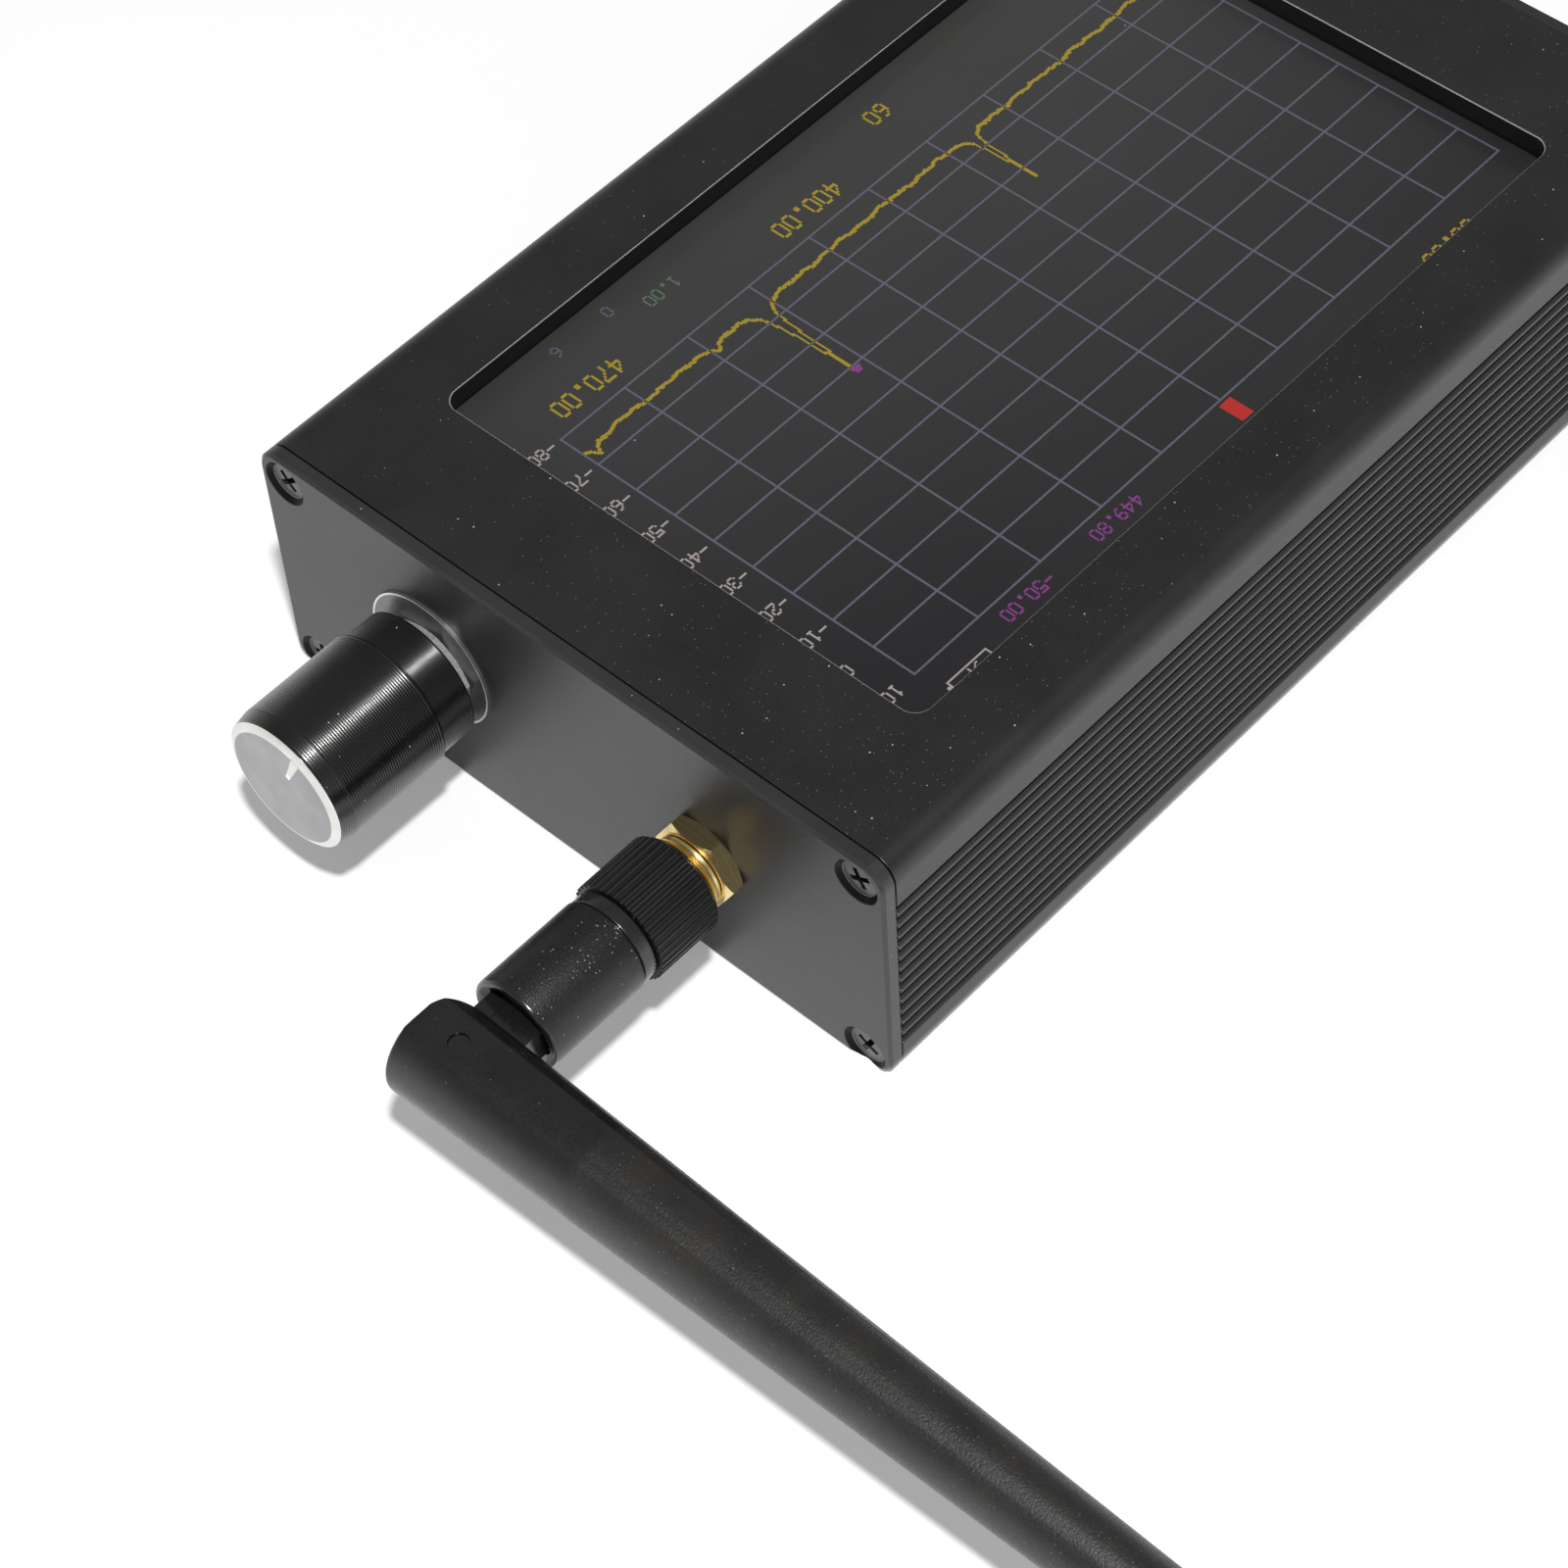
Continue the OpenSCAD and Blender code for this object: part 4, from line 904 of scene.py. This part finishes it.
def make_knuckle(paints):
    """Plug in the sleeve, and the tongue at the hinge with its pin hole and a mould line."""
    start, end = KNUCKLE_START + 0.03, SLEEVE_END - 0.75
    profile = [(start, 0.0)] + rounded([(start, KNUCKLE_R, 0.1), (end, KNUCKLE_R, 0.15)]) + [(end, 0.0)]
    knuckle = lathe("antenna_knuckle_moulded", profile, ANTENNA, "X", None, [paints["gloss"]],
                    count=72, closed=False)
    root = FACE + end - 0.6 - HINGE[0]
    bar = block("bar", from_hinge(root, -TONGUE_R, -TONGUE_HALF), from_hinge(0, TONGUE_R, TONGUE_HALF))
    combine(knuckle, bar, "UNION")
    combine(knuckle, rod("end", -TONGUE_HALF, TONGUE_HALF, TONGUE_R, HINGE, "Z"), "UNION")
    through = TONGUE_HALF + 1.3
    combine(knuckle, rod("hole", -through, through, PIN_R + 0.11, HINGE, "Z", 48), "DIFFERENCE")
    line = block("line", from_hinge(root + 0.7, -1.2, TONGUE_HALF - 0.08),
                 from_hinge(-1.6, -1.08, TONGUE_HALF + 0.2))
    combine(knuckle, line, "DIFFERENCE")
    finish_shape(knuckle, "antenna_base", angle=35, bevel_mm=0.12)
    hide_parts("antenna_knuckle")


def whip_slot():
    """Tool for the slot that the tongue sits in, open to the base and to the back."""
    high, reach = TONGUE_HALF + 0.15, TONGUE_R + 0.3
    slot = block("slot", from_hinge(-FAR, -FAR, -high), from_hinge(0, reach, high))
    back = block("back", from_hinge(-FAR, -FAR, -high), from_hinge(reach, 0, high))
    combine(slot, back, "UNION")
    combine(slot, rod("round", -high, high, reach, HINGE, "Z"), "UNION")
    return slot


def whip_corner():
    """Tool that rounds the whip's end about the hinge, so that it clears the sleeve when it tilts."""
    corner = block("corner", from_hinge(-FAR, -FAR, -FAR), from_hinge(0, 0, FAR))
    combine(corner, rod("keep", -2 * FAR, 2 * FAR, WHIP_R - 0.08, HINGE, "Z", 96), "DIFFERENCE")
    return corner


def make_whip(paints):
    """Whip cover: tapered rod with flats at the hinge, the tongue's slot, a pin hole and a core hole."""
    taper = (WHIP_R - WHIP_TIP_R) / WHIP_TIP
    profile = rounded([(WHIP_BACK, 0.0, 0), (WHIP_BACK, WHIP_R - taper * WHIP_BACK, 0.45),
                       (WHIP_TIP, WHIP_TIP_R, 1.5), (WHIP_TIP, 0.0, 0)], 6)
    whip = lathe("antenna_whip_cover", profile, HINGE, "Y", None, [paints["whip"]], closed=False)
    combine(whip, whip_slot(), "DIFFERENCE")
    combine(whip, whip_corner(), "DIFFERENCE")
    for side in (1, -1):
        low, high = sorted((side * (WHIP_R - FLAT_DEPTH), side * THROUGH))
        flat = block("flat", from_hinge(-FAR, -FAR, low), from_hinge(FAR, FLAT_LENGTH, high))
        combine(whip, flat, "DIFFERENCE")
    combine(whip, rod("hole", -THROUGH, THROUGH, PIN_R + 0.03, HINGE, "Z", 48), "DIFFERENCE")
    start, end = beyond("antenna_radiator", "Y", ANTENNA_Y)
    core_r = half("antenna_radiator", "X") + 0.02
    combine(whip, rod("core", start - 0.02, end, core_r, HINGE, "Y", 48), "DIFFERENCE")
    finish_shape(whip, "whip", angle=35, bevel_mm=0.1)
    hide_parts("antenna_whip")


def make_pin(paints):
    """Hinge pin with rounded heads, just below the whip's flats."""
    head = WHIP_R - FLAT_DEPTH - 0.07
    profile = [(-head, 0.0)] + rounded([(-head, PIN_R, 0.12), (head, PIN_R, 0.12)]) + [(head, 0.0)]
    pin = lathe("hinge_pin_headed", profile, HINGE, "Z", "whip", [paints["gloss"]], count=48, closed=False)
    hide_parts("hinge_pin")


# Screen

GRID_RIGHT, GRID_BOTTOM = 39.04, -18.57
CELL_X, CELL_Y = 8.20, 4.63
COLUMNS, ROWS = 10, 9
GRID_LEFT = GRID_RIGHT - COLUMNS * CELL_X
GRID_TOP = GRID_BOTTOM + ROWS * CELL_Y
PIXEL = 0.178
HALF_LINE = PIXEL * 0.6

# Pitch of small and large numbers, and the underside and top of the ink over the glass
SMALL, LARGE = 6 * PIXEL, 8 * PIXEL
INK_GAP, INK_TOP = 0.001, 0.012

# Rows of each sign from the top, with a five-dot row as a five-bit number
GLYPHS = {
    "0": (14, 17, 17, 17, 17, 17, 14), "1": (4, 12, 4, 4, 4, 4, 14), "2": (14, 17, 1, 6, 8, 16, 31),
    "3": (14, 17, 1, 6, 1, 17, 14), "4": (2, 6, 10, 18, 31, 2, 2), "5": (31, 16, 30, 1, 1, 17, 14),
    "6": (6, 8, 16, 30, 17, 17, 14), "7": (31, 1, 2, 4, 8, 8, 8), "8": (14, 17, 17, 14, 17, 17, 14),
    "9": (14, 17, 17, 15, 1, 2, 12), "-": (0, 0, 0, 31, 0, 0, 0), ".": (0, 0, 0, 0, 0, 12, 12),
    " ": (0, 0, 0, 0, 0, 0, 0),
}

# Peaks of the trace: place along the screen, height and half width
PEAKS = ((15.78, 11.4, 0.3), (-13.4, 8.2, 0.2), (21.8, 0.9, 0.4), (37.75, 1.3, 0.35))


def plates(name, boxes, material):
    """Thin plates of screen ink, each given by its two corners in X and Y."""
    verts, faces = [], []
    for x0, y0, x1, y1 in boxes:
        faces += [tuple(len(verts) + i for i in face) for face in BOX_FACES]
        verts += box_corners((x0, y0, SCREEN_Z + INK_GAP), (x1, y1, SCREEN_Z + INK_TOP))
    made = add_object(name, new_mesh(name, verts, faces, [material]))
    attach(made, "housing")


def runs(bits):
    """First and end column of each stretch of dots in a row."""
    found, start = [], None
    dots = [bits >> (4 - column) & 1 for column in range(5)] + [0]
    for column, dot in enumerate(dots):
        if dot and start is None:
            start = column
        elif not dot and start is not None:
            found.append((start, column))
            start = None
    return found


def digits(text, x, y, pitch, height):
    """Boxes of a plain number in dots, from its lower left corner."""
    wide, tall = pitch / 6, height / 7
    boxes = []
    for n, sign in enumerate(text):
        for row, bits in enumerate(GLYPHS[sign]):
            low = y + (6 - row) * tall
            for start, end in runs(bits):
                left = x + n * pitch + start * wide
                boxes.append((left, low, left + (end - start) * wide, low + tall))
    return boxes


def outline_boxes(x0, y0, x1, y1, line):
    """Boxes of a rectangle's four sides."""
    return [(x0, y0, x1, y0 + line), (x0, y1 - line, x1, y1),
            (x0, y0 + line, x0 + line, y1 - line), (x1 - line, y0 + line, x1, y1 - line)]


def make_grid(paints):
    """Grid lines along Y, and pieces of line along X between them."""
    boxes = []
    for i in range(COLUMNS + 1):
        x = GRID_LEFT + i * CELL_X
        boxes.append((x - HALF_LINE, GRID_BOTTOM - HALF_LINE, x + HALF_LINE, GRID_TOP + HALF_LINE))
    for j in range(ROWS + 1):
        y = GRID_BOTTOM + j * CELL_Y
        for i in range(COLUMNS):
            x = GRID_LEFT + i * CELL_X
            boxes.append((x + HALF_LINE, y - HALF_LINE, x + CELL_X - HALF_LINE, y + HALF_LINE))
    plates("screen_grid", boxes, paints["ink_grid"])


def trace_height(x, rng):
    """Height of the trace above the grid's bottom line: an uneven floor, the peaks and noise."""
    level = 2.52 + 0.1 * math.sin(x * 0.9) + 0.08 * math.sin(x * 2.3 + 1)
    for place, height, width in PEAKS:
        level += height / (1 + ((x - place) / width) ** 2)
    return level + rng.uniform(-0.14, 0.14)


def make_trace(paints):
    """The measured line, one box for each pixel along the screen."""
    rng = random.Random(7)
    half_thick = HALF_LINE * 1.5
    boxes, last = [], None
    for i in range(int(COLUMNS * CELL_X / PIXEL)):
        x = GRID_LEFT + i * PIXEL
        y = GRID_BOTTOM + trace_height(x, rng)
        last = y if last is None else last
        boxes.append((x, min(y, last) - half_thick, x + PIXEL, max(y, last) + half_thick))
        last = y
    plates("screen_trace", boxes, paints["ink_yellow"])


def make_scale(paints):
    """Numbers of the grid's lines, from -80 at its bottom up to 10."""
    boxes = []
    for j in range(ROWS + 1):
        text = str(-80 + 10 * j).rjust(3)
        boxes += digits(text, GRID_RIGHT + 0.86, GRID_BOTTOM + j * CELL_Y - 0.72, SMALL, 1.45)
    plates("screen_scale", boxes, paints["ink_white"])


def make_readings(paints):
    """Signs and numbers round the grid, a number as its text, lower left corner, pitch and height."""
    def show(name, ink, signs, *numbers):
        boxes = signs + [box for number in numbers for box in digits(*number)]
        plates("screen_" + name, boxes, paints["ink_" + ink])

    battery = outline_boxes(33.0, 25.75, 38.1, 27.6, PIXEL) + [(38.1, 26.2, 38.5, 27.1)]
    show("battery", "white", battery, ("97", 34.4, 26.1, SMALL, 1.2))
    show("readings", "yellow", [],
         ("400.00", -0.5, -22.2, LARGE, 2.15), ("470.00", 28.75, -22.2, LARGE, 2.15),
         ("60", -11.3, -25.6, LARGE, 2.0), ("30.00", -34.0, 26.0, LARGE, 1.9))
    marker = [(15.2, -4.5, 16.3, -4.1), (15.4, -4.1, 16.1, -3.7)]
    show("marker", "magenta", marker,
         ("449.80", 11.45, 24.15, SMALL, 1.5), ("-50.00", 23.3, 24.15, SMALL, 1.5))
    show("state", "red", [(-2.8, 23.5, -1.25, 26.2)])
    show("gain", "green", [], ("1.00", 17.9, -25.0, SMALL, 1.5))
    show("levels", "grid", [], ("0", 24.6, -27.0, SMALL, 1.4), ("6", 31.2, -27.0, SMALL, 1.4))


# Stage and light

FLOOR_HALF, FLOOR_Z = 3000, -0.02
FLOOR_GLOW = 0.22

# Distances from the part between which the floor goes to plain white for the camera
FLOOR_FADE = (200, 700)
ZENITH, HORIZON = 0.22, 0.75
KEY_POWER = 11.0
KEY_SIZE = 60
KEY_TARGET = (50, 0, 20)
KEY_DIRECTION = (0.27, 0.39, 1.0)
KEY_DISTANCE = 1100


def floor_paint():
    """Pale floor that glows a little where it is seen, and turns white to the camera farther off."""
    material = bpy.data.materials.new("floor_white")
    material.use_nodes = True
    n = Nodes(material.node_tree)
    n.tree.nodes.clear()
    diffuse = n.add("ShaderNodeBsdfDiffuse")
    diffuse.inputs["Color"].default_value = (0.8, 0.8, 0.8, 1)
    rays = n.add("ShaderNodeLightPath").outputs
    seen = n.math("MAXIMUM", rays["Is Camera Ray"], rays["Is Glossy Ray"])
    seen = n.math("MAXIMUM", seen, rays["Is Transmission Ray"])
    distance = n.add("ShaderNodeVectorMath", operation="LENGTH")
    n.link(n.add("ShaderNodeTexCoord").outputs["Object"], distance.inputs[0])
    white = n.product(rays["Is Camera Ray"], n.along(distance.outputs["Value"], *FLOOR_FADE))
    glow = n.add("ShaderNodeEmission")
    n.link(n.math("ADD", white, n.product(seen, FLOOR_GLOW)), glow.inputs["Strength"])
    both = n.add("ShaderNodeAddShader")
    n.link(diffuse.outputs[0], both.inputs[0])
    n.link(glow.outputs[0], both.inputs[1])
    n.link(both.outputs[0], n.add("ShaderNodeOutputMaterial").inputs["Surface"])
    return material


def make_stage():
    corners = [(-1, -1), (1, -1), (1, 1), (-1, 1)]
    verts = [(x * FLOOR_HALF, y * FLOOR_HALF, FLOOR_Z) for x, y in corners]
    sheet = add_object("floor", new_mesh("floor", verts, [(0, 1, 2, 3)], [floor_paint()]))


def make_world():
    """A sky that is brighter near the horizon, and plain white to the camera."""
    world = bpy.data.worlds.new("studio")
    bpy.context.scene.world = world
    world.use_nodes = True
    n = Nodes(world.node_tree)
    height = n.split(n.add("ShaderNodeTexCoord").outputs["Generated"])[2]
    sky = n.spread(height, 0.02, 0.55, HORIZON, ZENITH)
    seen = n.add("ShaderNodeLightPath").outputs["Is Camera Ray"]
    background = n.tree.nodes["Background"]
    background.inputs["Color"].default_value = (1, 1, 1, 1)
    n.link(n.math("MAXIMUM", sky, seen), background.inputs["Strength"])


def make_lamp():
    lamp = bpy.data.lights.new("key", "AREA")
    lamp.shape = "DISK"
    lamp.size = KEY_SIZE * MM
    lamp.energy = KEY_POWER
    key = add_object("key", lamp)
    towards = Vector(KEY_DIRECTION).normalized()
    key.location = (Vector(KEY_TARGET) + towards * KEY_DISTANCE) * MM
    key.rotation_mode = "QUATERNION"
    key.rotation_quaternion = (-towards).to_track_quat("-Z", "Y")


make_camera()
make_stage()
make_world()
make_lamp()
paints = {**case_paints(), **inner_paints(), **knob_paints(), **antenna_paints(), **ink_paints()}
paint_nodes(paints)
for make in (make_knob, make_screws, make_neck, make_sleeve, make_knuckle, make_whip, make_pin,
             make_grid, make_trace, make_scale, make_readings):
    make(paints)
ease_edges("case_tube", EDGE)
